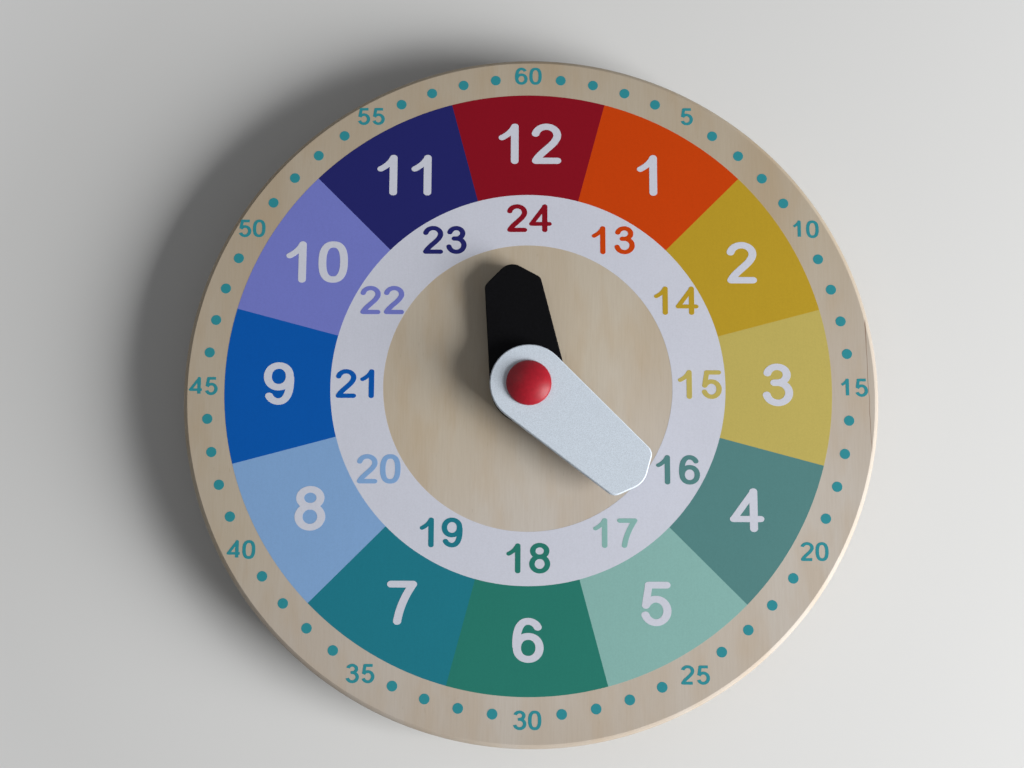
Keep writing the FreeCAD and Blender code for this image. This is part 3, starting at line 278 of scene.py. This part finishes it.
# ---------------------------------------------------------------------------------------------------------
# Material building
# ---------------------------------------------------------------------------------------------------------
def new_material(name):
    """A material with its node tree and the shader in it."""
    material = bpy.data.materials.new(name)
    material.use_nodes = True
    tree = material.node_tree
    return material, tree, tree.nodes["Principled BSDF"]


def set_inputs(node, inputs):
    """Sets a node's inputs by name: a socket is linked, anything else is the input's own value."""
    for name, value in inputs.items():
        if isinstance(value, bpy.types.NodeSocket):
            node.id_data.links.new(value, node.inputs[name])
        else:
            node.inputs[name].default_value = value


def maths(tree, operation, *values):
    """The result of a sum on numbers or sockets."""
    node = tree.nodes.new("ShaderNodeMath")
    node.operation = operation
    set_inputs(node, dict(enumerate(values)))
    return node.outputs[0]


def point_on_piece(tree, stretch=(1, 1, 1)):
    """The point on the piece, in its own coordinates in millimetres, stretched along each axis."""
    where = tree.nodes.new("ShaderNodeTexCoord")
    mapping = tree.nodes.new("ShaderNodeMapping")
    set_inputs(mapping, {"Vector": where.outputs["Object"], "Scale": [s / MM for s in stretch]})
    return mapping.outputs["Vector"]


def noise(tree, size, stretch=(1, 1, 1), detail=3.0, roughness=0.5):
    """Noise from 0 to 1 with spots of about a size in millimetres, drawn out where stretch is under 1."""
    node = tree.nodes.new("ShaderNodeTexNoise")
    set_inputs(node, {"Vector": point_on_piece(tree, stretch), "Scale": 1 / size, "Detail": detail,
                      "Roughness": roughness})
    return node.outputs["Fac"]


def spread(tree, value, low, high, to_low=0.0, to_high=1.0):
    """Maps low to to_low and high to to_high, and keeps what lies past them at the ends."""
    node = tree.nodes.new("ShaderNodeMapRange")
    set_inputs(node, {"Value": value, "From Min": low, "From Max": high, "To Min": to_low,
                      "To Max": to_high})
    return node.outputs["Result"]


def mix(tree, share, first, second, blend="MIX"):
    """Two colours mixed or blended by a share from 0 to 1."""
    node = tree.nodes.new("ShaderNodeMix")
    node.data_type = "RGBA"
    node.blend_type = blend
    node.clamp_factor = True
    for socket, value in zip((node.inputs[0], node.inputs[6], node.inputs[7]), (share, first, second)):
        if isinstance(value, bpy.types.NodeSocket):
            tree.links.new(value, socket)
        else:
            socket.default_value = (*value, 1) if isinstance(value, tuple) else value
    return node.outputs[2]


def bump(tree, height, distance, strength=1.0, under=None):
    """A normal from a height from 0 to 1 that stands for a distance in millimetres."""
    node = tree.nodes.new("ShaderNodeBump")
    set_inputs(node, {"Height": height, "Distance": distance * MM, "Strength": strength})
    if under is not None:
        set_inputs(node, {"Normal": under})
    return node.outputs["Normal"]


def shade(colour, factor):
    """A colour made lighter or darker."""
    return tuple(min(part * factor, 1.0) for part in colour)


# ---------------------------------------------------------------------------------------------------------
# Materials
# ---------------------------------------------------------------------------------------------------------
ALONG_Y = (1, 0.05, 1)


def wood_grain(tree):
    """Fine fibre that runs along Y, from 0 to 1."""
    return noise(tree, size=0.55, stretch=ALONG_Y, detail=5, roughness=0.62)


def make_wood():
    """Pale basswood veneer on plywood, sanded and under a thin satin varnish."""
    material, tree, shader = new_material("varnished_plywood")
    fibre = wood_grain(tree)
    figure = noise(tree, size=10, stretch=(1, 0.3, 1), detail=3)
    patch = noise(tree, size=30, stretch=(1, 0.2, 1), detail=2, roughness=0.45)
    colour = mix(tree, spread(tree, patch, 0.42, 0.72, 0.1, 0.6), WOOD_PALE, WOOD_WARM)
    colour = mix(tree, spread(tree, figure, 0.48, 0.7, 0, 0.4), colour, shade(WOOD_WARM, 1.08))
    colour = mix(tree, spread(tree, fibre, 0.4, 0.72, 0.0, 0.16), colour, shade(WOOD_WARM, 0.75))
    fleck = noise(tree, size=1.1, stretch=(1, 0.2, 1), detail=2)
    colour = mix(tree, spread(tree, fleck, 0.71, 0.78, 0, 0.2), colour, shade(WOOD_WARM, 0.55))
    # the veneer gets painted light and shade, then its plies and its crack
    colour = split_veneer(tree, ply_layers(tree, slow_shade(tree, colour)))
    set_inputs(shader, {
        "Base Color": colour,
        "Roughness": spread(tree, fibre, 0.3, 0.7, 0.52, 0.64),
        "Specular IOR Level": 0.3,
        "Normal": bump(tree, fibre, 0.02, 0.5),
    })
    return material


def slow_shade(tree, colour):
    """Painted light on the veneer: painted shade away from a spot low and right, and a painted cool tint
    below.
    """
    away = tree.nodes.new("ShaderNodeVectorMath")
    away.operation = "DISTANCE"
    point = point_on_piece(tree)
    set_inputs(away, {0: point, 1: (*PAINTED_LIGHT_SPOT, board_front)})
    # painted shade: darker away from the painted pool of light
    darker = spread(tree, away.outputs["Value"], *PAINTED_SHADE_REACH, 0, PAINTED_SHADE_SHARE)
    colour = mix(tree, darker, colour, shade(WOOD_WARM, 0.58))
    parts = tree.nodes.new("ShaderNodeSeparateXYZ")
    tree.links.new(point, parts.inputs[0])
    # painted tint of cool light below a slanted line through the axis
    slanted = maths(tree, "MULTIPLY", parts.outputs["X"], PAINTED_COOL_SLANT)
    below = maths(tree, "SUBTRACT", slanted, parts.outputs["Y"])
    return mix(tree, spread(tree, below, *PAINTED_COOL_REACH), colour, PAINTED_COOL_LIGHT_TINT, "MULTIPLY")


def split_veneer(tree, colour):
    """A hair crack in the veneer inside the right rim, which opens at its upper end."""
    parts = tree.nodes.new("ShaderNodeSeparateXYZ")
    tree.links.new(point_on_piece(tree), parts.inputs[0])
    stray = spread(tree, noise(tree, size=9, detail=2), 0.3, 0.7, -CRACK_STRAY, CRACK_STRAY)
    course = maths(tree, "MULTIPLY_ADD", parts.outputs["Y"], CRACK_SLANT, stray)
    aside = maths(tree, "SUBTRACT", parts.outputs["X"], maths(tree, "ADD", course, CRACK_X))
    opens_from, opens_to = (CRACK_TOP - below for below in CRACK_OPENS)
    half_width = spread(tree, parts.outputs["Y"], opens_from, opens_to, *CRACK_HALF_WIDTH)
    share = maths(tree, "DIVIDE", maths(tree, "ABSOLUTE", aside), half_width)
    in_front = maths(tree, "GREATER_THAN", parts.outputs["Z"], board_front - FACE_BEVEL)
    middle, half_length = (CRACK_TOP + CRACK_FOOT) / 2, (CRACK_TOP - CRACK_FOOT) / 2
    from_middle = maths(tree, "ABSOLUTE", maths(tree, "SUBTRACT", parts.outputs["Y"], middle))
    ends = spread(tree, from_middle, half_length - CRACK_FADE, half_length, CRACK_STRENGTH, 0)
    line = maths(tree, "MULTIPLY", spread(tree, share, 0.4, 1.4, 1, 0), ends)
    return mix(tree, maths(tree, "MULTIPLY", line, in_front), colour, CRACK_BROWN)


def ply_layers(tree, colour):
    """Darkens every second ply and draws the glue lines, by the depth behind the dial's face."""
    parts = tree.nodes.new("ShaderNodeSeparateXYZ")
    tree.links.new(point_on_piece(tree), parts.inputs[0])
    depth = maths(tree, "SUBTRACT", board_front, parts.outputs["Z"])
    layer = maths(tree, "MULTIPLY", depth, PLIES / board_thickness)
    cross = maths(tree, "GREATER_THAN", maths(tree, "MODULO", layer, 2.0), 1 + GLUE_LINE[0])
    end_grain = noise(tree, size=0.35, detail=4, roughness=0.7)
    dark = maths(tree, "MULTIPLY", cross, spread(tree, end_grain, 0.3, 0.7, 0.35, 0.75))
    colour = mix(tree, dark, colour, shade(WOOD_WARM, 0.86))
    from_line = maths(tree, "PINGPONG", layer, 0.5)
    line = spread(tree, from_line, *GLUE_LINE, 0.45, 0.0)
    from_middle = maths(tree, "ABSOLUTE", maths(tree, "SUBTRACT", layer, PLIES / 2))
    inside = maths(tree, "LESS_THAN", from_middle, (PLIES - 1) / 2)
    return mix(tree, maths(tree, "MULTIPLY", line, inside), colour, shade(WOOD_WARM, 0.4))


def make_ink(name, colour):
    """Screen-printed ink that lies thinly on the veneer and shows its fibre a little."""
    material, tree, shader = new_material(name)
    fibre = wood_grain(tree)
    cloud = noise(tree, size=14, detail=3)
    grainy = mix(tree, spread(tree, fibre, 0.3, 0.72, 0.0, 0.10), colour, shade(colour, 0.62))
    speckle = noise(tree, size=0.7, detail=2, roughness=0.6)
    speckled = mix(tree, spread(tree, speckle, 0.35, 0.65, 0.0, 0.5), grainy, shade(colour, 1.09))
    clouded = mix(tree, spread(tree, cloud, 0.3, 0.7, 0.0, 0.12), speckled, shade(colour, 1.15))
    set_inputs(shader, {
        "Base Color": clouded,
        "Roughness": spread(tree, speckle, 0.3, 0.7, 0.54, 0.60),
        "Specular IOR Level": 0.12,
        "Normal": bump(tree, fibre, 0.03, 0.45),
    })
    return material


def make_paint(name, colour, roughness, gloss, speckle, speckle_size, grain):
    """Sprayed paint on wood: a fine speckle, the wood's fibre through it, and rubbed spots."""
    material, tree, shader = new_material(name)
    fibre = wood_grain(tree)
    dots = noise(tree, speckle_size, detail=2, roughness=0.6)
    rubbed = noise(tree, size=11, detail=4, roughness=0.6)
    darker, lighter = shade(colour, 1 - speckle), shade(colour, 1 + speckle)
    toned = mix(tree, spread(tree, dots, 0.35, 0.65), darker, lighter)
    skin = bump(tree, dots, 0.02, 0.5)
    set_inputs(shader, {
        "Base Color": mix(tree, spread(tree, rubbed, 0.55, 0.8, 0, 0.3), toned, darker),
        "Roughness": spread(tree, rubbed, 0.3, 0.7, roughness - 0.05, roughness + 0.06),
        "Specular IOR Level": gloss,
        "Normal": bump(tree, fibre, 0.05, grain, under=skin),
    })
    return material


def make_plastic(name, colour, roughness):
    """Moulded plastic with a fine spark-eroded skin and faint flow marks."""
    material, tree, shader = new_material(name)
    skin = noise(tree, size=0.28, detail=2)
    flow = noise(tree, size=22, detail=3)
    set_inputs(shader, {
        "Base Color": mix(tree, spread(tree, flow, 0.35, 0.7, 0, 0.5), colour, shade(colour, 0.93)),
        "Roughness": spread(tree, flow, 0.3, 0.7, roughness - 0.05, roughness + 0.05),
        "Normal": bump(tree, skin, 0.012, 0.6),
    })
    return material


def make_metal(name, colour, roughness):
    """Turned or drawn metal, brushed along the axis, with dull handling marks."""
    material, tree, shader = new_material(name)
    lines = noise(tree, size=0.12, stretch=(1, 1, 0.08), detail=3)
    dull = noise(tree, size=3.5, detail=4, roughness=0.6)
    set_inputs(shader, {
        "Metallic": 1.0,
        "Base Color": mix(tree, spread(tree, dull, 0.4, 0.7, 0, 0.6), colour, shade(colour, 0.78)),
        "Roughness": spread(tree, dull, 0.3, 0.7, roughness - 0.06, roughness + 0.1),
        "Normal": bump(tree, lines, 0.008, 0.5),
    })
    return material


# ---------------------------------------------------------------------------------------------------------
# Mesh building
# ---------------------------------------------------------------------------------------------------------
def add_piece(name, mesh, material, body, replaced=(), turn=0.0, height=0.0):
    """Puts a mesh in place, gives it its material and lets it ride on a CAD body."""
    mesh.materials.append(material)
    piece = bpy.data.objects.new(name, mesh)
    bpy.context.scene.collection.objects.link(piece)
    turned_by = Matrix.Rotation(math.radians(turn), 4, "Z")
    piece.matrix_world = Matrix.Translation((0, 0, height * MM)) @ turned_by
    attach(piece, body)
    if replaced:
        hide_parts(*replaced)


def finish_mesh(bm, name, sharp_over=20):
    """A smooth-shaded mesh in metres from a bmesh in millimetres, with its hard edges kept hard."""
    bmesh.ops.recalc_face_normals(bm, faces=bm.faces)
    bmesh.ops.scale(bm, vec=(MM, MM, MM), verts=bm.verts)
    mesh = bpy.data.meshes.new(name)
    bm.to_mesh(mesh)
    bm.free()
    mesh.shade_smooth()
    mesh.set_sharp_from_angle(angle=math.radians(sharp_over))
    return mesh


def loft(loops, name, closed=False, sharp_over=20):
    """A skin over loops of equally many points. It ends in flat faces or, closed, meets its first loop."""
    bm = bmesh.new()
    rings = [[bm.verts.new(point) for point in loop] for loop in loops]
    followers = rings[1:] + rings[:1] if closed else rings[1:]
    for first, second in zip(rings, followers):
        for a, b, c, d in zip(first, first[1:] + first[:1], second[1:] + second[:1], second):
            bm.faces.new((a, b, c, d))
    if not closed:
        bm.faces.new(rings[0])
        bm.faces.new(rings[-1])
    return finish_mesh(bm, name, sharp_over)


def circle(radius, z, centre=(0, 0), steps=RING_STEPS):
    """Points round a circle, from +X anticlockwise."""
    turns = [2 * math.pi * step / steps for step in range(steps)]
    return [(centre[0] + radius * math.cos(t), centre[1] + radius * math.sin(t), z) for t in turns]


def bevelled(size):
    """How far in and how far below the face a slanted, crowned edge runs, in pairs from the wall up."""
    lean = math.radians(EDGE_LEAN)
    radius = size / (math.cos(lean) - math.sin(lean))
    start, sweep = math.pi / 2 - lean, math.pi / 2 - 2 * lean
    turns = [start - sweep * step / EDGE_STEPS for step in range(EDGE_STEPS + 1)]
    edge = math.cos(lean)
    return [(radius * (edge - math.sin(t)), radius * (edge - math.cos(t))) for t in turns]


def make_plate(flat, base, name):
    """A thin closed plate of ink from a flat bmesh: its faces below and above, and walls on its outlines."""
    flat.verts.index_update()
    plate = bmesh.new()
    below, above = ([plate.verts.new((*vert.co.xy, z)) for vert in flat.verts] for z in (base, base + INK))
    for face in flat.faces:
        plate.faces.new([below[vert.index] for vert in reversed(face.verts)])
        plate.faces.new([above[vert.index] for vert in face.verts])
    for edge in flat.edges:
        if edge.is_boundary:
            start, end = (vert.index for vert in edge.verts)
            plate.faces.new((below[start], below[end], above[end], above[start]))
    flat.free()
    return finish_mesh(plate, name)


def ring_sector(inner, outer, start, end, steps):
    """A flat piece of a ring of the print, between two angles in degrees clockwise from twelve."""
    flat = bmesh.new()
    whole = end - start >= 360
    turns = [start + (end - start) * step / steps for step in range(steps + (not whole))]
    rows = [[flat.verts.new((*on_circle(radius, turn / HOUR_ANGLE), 0)) for radius in (inner, outer)]
            for turn in turns]
    for (a, b), (d, c) in zip(rows, rows[1:] + (rows[:1] if whole else [])):
        flat.faces.new((a, b, c, d))
    return flat


# ---------------------------------------------------------------------------------------------------------
# Digits
# ---------------------------------------------------------------------------------------------------------
def arc(x, y, rx, ry, start, end):
    """Points along an ellipse about (x, y), between two angles in degrees."""
    steps = math.ceil(abs(end - start) / ARC_STEP)
    turns = [math.radians(start + (end - start) * step / steps) for step in range(steps + 1)]
    return [(x + rx * math.cos(t), y + ry * math.sin(t)) for t in turns]


def oval(x, y, rx, ry, squareness):
    """A closed oval whose sides get straighter as the squareness goes up from 2."""
    points = []
    for step in range(OVAL_STEPS + 1):
        turn = 2 * math.pi * step / OVAL_STEPS
        c, s = math.cos(turn), math.sin(turn)
        points.append((x + rx * math.copysign(abs(c) ** (2 / squareness), c),
                       y + ry * math.copysign(abs(s) ** (2 / squareness), s)))
    return points


def bend(first, second, third, last):
    """Points along the Bezier curve of four points."""
    shares = [step / BEND_STEPS for step in range(BEND_STEPS + 1)]
    return [tuple((1 - t) ** 3 * a + 3 * t * (1 - t) ** 2 * b + 3 * t * t * (1 - t) * c + t ** 3 * d
                  for a, b, c, d in zip(first, second, third, last)) for t in shares]


def turned(strokes, middle):
    """The same strokes turned upside down about the middle of the cell."""
    return [([(-x, 2 * middle - y) for x, y in points], weight) for points, weight in strokes]


def digit_six():
    """The strokes of a six: its bowl, its open top and its back."""
    return [
        (oval(0.45, 6.1, 4.7, 4.7, 2.1), 1.0),
        (arc(0.3, 13.1, 4.4, 3.9, 22, 90), 1.0),
        (bend((0.3, 17.0), (-3.3, 17.0), (-4.75, 12.6), (-4.45, 6.6)), 1.0),
    ]


def digit_strokes(digit):
    """The pen's strokes for a digit, with their weights. The foot is y = 0, the cell's middle x = 0."""
    if digit == "0":
        return [(oval(0, 9.2, 4.7, 7.8, 2.5), 1.0)]
    if digit == "1":
        return [([(1.6, 1.4), (1.6, 17.0)], 1.0),
                (bend((-4.05, 12.0), (-2.2, 12.9), (0.1, 14.5), (1.2, 16.7)), 0.85)]
    if digit == "2":
        return [(arc(0.5, 13.0, 4.8, 4.0, 168, -35), 1.0),
                (bend((4.43, 10.7), (3.4, 8.4), (-2.7, 4.7), (-4.1, 1.5)), 1.0),
                ([(-4.1, 1.45), (5.3, 1.45)], 1.0)]
    if digit == "3":
        return [(arc(0.35, 13.55, 4.15, 3.45, 168, -90), 1.0),
                (arc(0.5, 5.75, 4.85, 4.35, 90, -168), 1.0),
                ([(-0.9, 10.1), (0.6, 10.1)], 1.0)]
    if digit == "4":
        return [([(3.3, 1.4), (3.3, 17.0)], 1.0),
                ([(3.3, 16.9), (-5.2, 5.45)], 0.88),
                ([(-5.2, 5.45), (6.2, 5.45)], 0.92)]
    if digit == "5":
        return [([(5.1, 16.9), (-2.3, 16.9)], 1.0),
                ([(-2.3, 16.9), (-3.6, 9.2)], 0.92),
                (arc(0.6, 6.25, 4.75, 4.85, 152, -160), 1.0)]
    if digit == "6":
        return digit_six()
    if digit == "7":
        return [([(-3.9, 16.9), (5.3, 16.9)], 1.0),
                (bend((5.3, 16.9), (2.3, 12.6), (-0.2, 7.4), (-1.15, 1.5)), 1.0)]
    if digit == "8":
        return [(oval(0.2, 13.75, 4.3, 3.6, 2.0), 1.0), (oval(0.2, 5.8, 4.8, 4.45, 2.0), 1.0)]
    return turned(digit_six(), HOUR_HEIGHT / 2)


def stroke_outlines(points, weight, capped):
    """Small polygons that cover a stroke of the pen: one across each step, and a disc at each round end."""
    closed = math.dist(points[0], points[-1]) < SAME_POINT
    slope = PEN_WIDTH / PEN_HEIGHT
    path = [Vector((x, y * slope)) for x, y in points]
    half = PEN_WIDTH / 2 * weight
    sides = []
    for index, point in enumerate(path):
        before = path[index - 1] if index else (path[-2] if closed else point)
        after = path[index + 1] if index + 1 < len(path) else (path[1] if closed else point)
        along = (after - before).normalized()
        across = Vector((-along.y, along.x)) * half
        sides.append((point - across, point + across))
    shapes = [[a, c, d, b] for (a, b), (c, d) in zip(sides, sides[1:])]
    for end in (() if closed else (path[0], path[-1])):
        if capped(end.x, end.y / slope):
            turns = [2 * math.pi * step / PEN_END_STEPS for step in range(PEN_END_STEPS)]
            shapes.append([end + Vector((math.cos(t), math.sin(t))) * half for t in turns])
    return [[(corner.x, corner.y / slope) for corner in shape] for shape in shapes]


@functools.lru_cache(maxsize=None)
def flat_digit(digit, round_ends):
    """The points and faces of a digit at the hours' size, as the union of its strokes."""
    strokes = digit_strokes(digit)
    ends = [end for points, _ in strokes for end in (points[0], points[-1])]

    def capped(x, y):
        """Where strokes meet there is always a round joint; a free end is round only in the round style."""
        return round_ends or sum(math.dist((x, y), end) < JOINT_REACH for end in ends) > 1

    corners, shapes = [], []
    for points, weight in strokes:
        for shape in stroke_outlines(points, weight, capped):
            shapes.append(list(range(len(corners), len(corners) + len(shape))))
            corners += [Vector(corner) for corner in shape]
    verts, _, faces, _, _, sources = delaunay_2d_cdt(corners, [], shapes, 1, WELD)
    return [tuple(vert) for vert in verts], [face for face, source in zip(faces, sources) if source]


def add_number(flat, number, middle, height, round_ends=True):
    """Writes a number about a middle point into a flat bmesh."""
    scale = height / HOUR_HEIGHT
    for place_in_row, digit in enumerate(str(number)):
        shift = (place_in_row - (len(str(number)) - 1) / 2) * CELL_WIDTH
        points, faces = flat_digit(digit, round_ends)
        verts = [flat.verts.new((middle[0] + (x + shift) * scale,
                                 middle[1] + (y - HOUR_HEIGHT / 2) * scale, 0)) for x, y in points]
        for face in faces:
            flat.faces.new([verts[index] for index in face])


def tidy_flat(flat):
    """Joins the triangles of a flat bmesh into larger faces, and drops points that none of them use."""
    bmesh.ops.delete(flat, geom=[vert for vert in flat.verts if not vert.link_faces], context="VERTS")
    bmesh.ops.dissolve_limit(flat, angle_limit=math.radians(0.5), verts=flat.verts, edges=flat.edges)


def on_circle(radius, hour, rise=0.0, stretch=1.0):
    """The point at an hour on a circle of the print, which may be stretched along Y and moved up."""
    turn = math.radians(HOUR_ANGLE * hour)
    up = radius * stretch * math.cos(turn)
    return PRINT_CENTRE.x + radius * math.sin(turn), PRINT_CENTRE.y + up + rise


# ---------------------------------------------------------------------------------------------------------
# Dial
# ---------------------------------------------------------------------------------------------------------
def make_board(wood):
    """The plywood disc, with its sanded front edge and its hole for the bushing."""
    low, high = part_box("dial_board")
    centre = ((low + high) / 2 / MM)[:2]
    radius = (high.x - low.x) / 2 / MM
    front, back = high.z / MM, low.z / MM
    loops = [circle(CENTRE_HOLE, back), circle(radius - BACK_CHAMFER, back, centre),
             circle(radius, back + BACK_CHAMFER, centre)]
    loops += [circle(radius - inward, front - below, centre) for inward, below in bevelled(FACE_BEVEL)]
    loops.append(circle(CENTRE_HOLE, front))
    mesh = loft(loops, "board", closed=True)
    add_piece("printed_dial_board", mesh, wood, "clock_body", ["dial_board"])


def add_print(name, flat, ink, layer=0):
    """Lays a flat bmesh on the board as ink, on top of a number of layers."""
    mesh = make_plate(flat, board_front + layer * INK, name)
    add_piece(name, mesh, ink, "clock_body")


def make_print():
    """The ring, the twelve sectors, the numbers and the minute dots, as thin layers of ink."""
    white = make_ink("ink_white", PRINT_WHITE)
    teal = make_ink("ink_teal", MINUTE_TEAL)
    add_print("print_day_ring", ring_sector(RING_INNER, RING_OUTER, 0, 360, RING_STEPS), white)
    hours = bmesh.new()
    minutes = bmesh.new()
    for hour, colour in SECTOR_COLOURS.items():
        ink = make_ink(f"ink_hour_{hour:02d}", colour)
        start, end = HOUR_ANGLE * (hour - 0.5), HOUR_ANGLE * (hour + 0.5)
        sector = ring_sector(RING_OUTER, SECTOR_OUTER, start, end, SECTOR_STEPS)
        add_print(f"print_sector_{hour:02d}", sector, ink)
        dropped = BOTTOM_DROP if hour == 6 else 0
        day_hour = bmesh.new()
        add_number(day_hour, hour + 12, on_circle(DAY_CIRCLE, hour, DAY_RISE - dropped), DAY_HEIGHT)
        tidy_flat(day_hour)
        add_print(f"print_number_{hour + 12}", day_hour, ink, 1)
        middle = on_circle(HOUR_CIRCLE, hour, HOUR_RISE - dropped, HOUR_STRETCH)
        add_number(hours, hour, middle, HOUR_HEIGHT)
        middle = on_circle(MINUTE_CIRCLE, hour, MINUTE_RISE)
        add_number(minutes, 5 * hour, middle, MINUTE_HEIGHT, round_ends=False)
    tidy_flat(hours)
    tidy_flat(minutes)
    add_print("print_hour_numbers", hours, white, 1)
    add_print("print_minute_numbers", minutes, teal)
    dots = bmesh.new()
    for minute in range(60):
        if minute % 5:
            spot = Matrix.Translation((*on_circle(DOT_CIRCLE, minute / 5), 0))
            bmesh.ops.create_circle(dots, cap_ends=True, segments=DOT_STEPS, radius=DOT_RADIUS,
                                    matrix=spot)
    add_print("print_minute_dots", dots, teal)


# ---------------------------------------------------------------------------------------------------------
# Hands and cap
# ---------------------------------------------------------------------------------------------------------
def unit(angle):
    """The direction at an angle in degrees, anticlockwise from +X."""
    return Vector((math.cos(math.radians(angle)), math.sin(math.radians(angle))))


def hand_outline(shoulder, shoulder_round, tip_round, length):
    """The plan of a hand along +Y, anticlockwise: round end, straight sides, rounded shoulders and tip."""
    corner = Vector(shoulder)
    above_tip_centre = corner - Vector((0, length - tip_round))
    side_faces = math.degrees(math.atan2(corner.y, corner.x) - math.acos(HAND_END / corner.length))
    slope_faces = math.degrees(math.atan2(above_tip_centre.y, above_tip_centre.x)
                               + math.acos(tip_round / above_tip_centre.length))
    outward = unit(side_faces) + unit(slope_faces)
    share = 1 + unit(side_faces).dot(unit(slope_faces))
    middle = corner - outward * (shoulder_round / share)
    shoulder_arc = arc(*middle, shoulder_round, shoulder_round, side_faces, slope_faces)
    tip = arc(0, length - tip_round, tip_round, tip_round, slope_faces, 180 - slope_faces)
    far_shoulder = [(-x, y) for x, y in reversed(shoulder_arc)]
    end = arc(0, 0, HAND_END, HAND_END, 180 - side_faces, 360 + side_faces)
    return shoulder_arc + tip + far_shoulder + end


def inset(outline, distance, z):
    """The outline moved inwards, at a height."""
    moved = []
    for before, point, after in zip(outline[-1:] + outline[:-1], outline, outline[1:] + outline[:1]):
        along = (Vector(after) - Vector(before)).normalized()
        moved.append((point[0] - along.y * distance, point[1] + along.x * distance, z))
    return moved


def hole_loop(outline, radius, z):
    """Points round a hole, in the directions of the outline's points."""
    return [(*(Vector(point).normalized() * radius), z) for point in outline]


def make_hand(name, node, sizes, paint, body, seat_at_front):
    """A painted wooden hand with a soft front edge and the stepped hole of its bush."""
    low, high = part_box(node)
    thickness = (high.z - low.z) / MM
    outline = hand_outline(sizes["shoulder"], sizes["shoulder_round"], sizes["tip_round"],
                           sizes["length"])
    loops = [inset(outline, HAND_CHAMFER, 0), inset(outline, 0, HAND_CHAMFER)]
    loops += [inset(outline, inward, thickness - below) for inward, below in bevelled(HAND_BEVEL)]
    seat, hole = sizes["seat"], sizes["hole"]
    if seat_at_front:
        step = thickness - SEAT_DEPTH
        bore = [(seat, thickness), (seat, step), (hole, step), (hole, 0)]
    else:
        bore = [(hole, thickness), (hole, SEAT_DEPTH), (seat, SEAT_DEPTH), (seat, 0)]
    loops += [hole_loop(outline, radius, z) for radius, z in bore]
    mesh = loft(loops, name, closed=True)
    add_piece(name, mesh, paint, body, [node], sizes["turn"], low.z / MM)


def make_cap(paint):
    """The red cap: a low straight rim with a soft edge, a shallow dome, and a hollow for the nut."""
    low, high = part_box("centre_cap")
    radius = (high.x - low.x) / 2 / MM
    height = (high.z - low.z) / MM
    dome = height - CAP_RIM
    sphere = (radius ** 2 + dome ** 2) / (2 * dome)
    loops = [(CAP_HOLLOW_RADIUS, CAP_HOLLOW_DEPTH), (CAP_HOLLOW_RADIUS, 0), (radius - CAP_SOFTENING, 0),
             (radius, CAP_SOFTENING), (radius, CAP_RIM - CAP_SOFTENING)]
    edge = math.degrees(math.asin(radius / sphere))
    for step in range(1, CAP_STEPS):
        turn = math.radians(edge * (1 - step / CAP_STEPS))
        loops.append((sphere * math.sin(turn), height - sphere * (1 - math.cos(turn))))
    loops.append((CAP_FLAT, height))
    mesh = loft([circle(r, z, steps=CAP_SIDES) for r, z in loops], "cap", sharp_over=60)
    add_piece("painted_centre_cap", mesh, paint, "minute_train", ["centre_cap"],
              height=low.z / MM)


# ---------------------------------------------------------------------------------------------------------
# Everything that keeps its CAD shape
# ---------------------------------------------------------------------------------------------------------
def dress_cad_nodes():
    """Gives each remaining CAD node its own material."""
    brass = make_metal("turned_brass", BRASS, roughness=0.28)
    zinc = make_metal("zinc_plated_steel", ZINC, roughness=0.34)
    ground = make_metal("ground_steel", BARE_STEEL, roughness=0.24)
    spring = make_metal("spring_steel", SPRING_STEEL, roughness=0.30)
    case = make_plastic("case_plastic", CASE_GREY, roughness=0.52)
    cover = make_plastic("cover_plastic", COVER_GREY, roughness=0.55)
    acetal = make_plastic("acetal", ACETAL_WHITE, roughness=0.38)
    fibre = make_plastic("vulcanised_fibre", FIBRE_BLACK, roughness=0.6)
    finishes = {
        "gear_case": case, "case_cover": cover, "case_screws": zinc, "cover_screws": zinc,
        "centre_bushing": brass, "dial_washer": zinc, "bushing_nut": brass, "friction_washer": spring,
        "intermediate_stud": ground, "minute_arbor": ground, "cannon_pinion": brass,
        "minute_wheel": acetal, "minute_pinion": acetal, "hour_wheel": acetal, "hour_pipe": brass,
        "hour_hand_bush": brass, "hand_spacer": fibre, "minute_hand_bush": brass, "hand_nut": brass,
    }
    for node, material in finishes.items():
        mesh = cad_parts[node].data
        mesh.materials.clear()
        mesh.materials.append(material)


# ---------------------------------------------------------------------------------------------------------
# The scene
# ---------------------------------------------------------------------------------------------------------
board_back, board_front = (corner.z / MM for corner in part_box("dial_board"))
board_thickness = board_front - board_back

bpy.context.scene.view_settings.view_transform = "Standard"
make_camera()
make_world()
make_lamp("window", **WINDOW_LAMP)
make_lamp("fill", **FILL_LAMP)
make_floor()

make_board(make_wood())
make_print()
black = make_paint("matt_black_paint", BLACK_PAINT, roughness=0.66, gloss=0.05, speckle=0.25,
                   speckle_size=0.7, grain=0.7)
silver = make_paint("silver_white_paint", SILVER_PAINT, roughness=0.46, gloss=0.32, speckle=0.11,
                    speckle_size=0.4, grain=0.3)
red = make_paint("red_satin_paint", RED_PAINT, roughness=0.40, gloss=0.28, speckle=0.08,
                 speckle_size=2.0, grain=0.3)
make_hand("painted_hour_hand", "hour_hand", HOUR_HAND, black, "hour_hand_set",
          seat_at_front=False)
make_hand("painted_minute_hand", "minute_hand", MINUTE_HAND, silver, "minute_train",
          seat_at_front=True)
make_cap(red)
dress_cad_nodes()
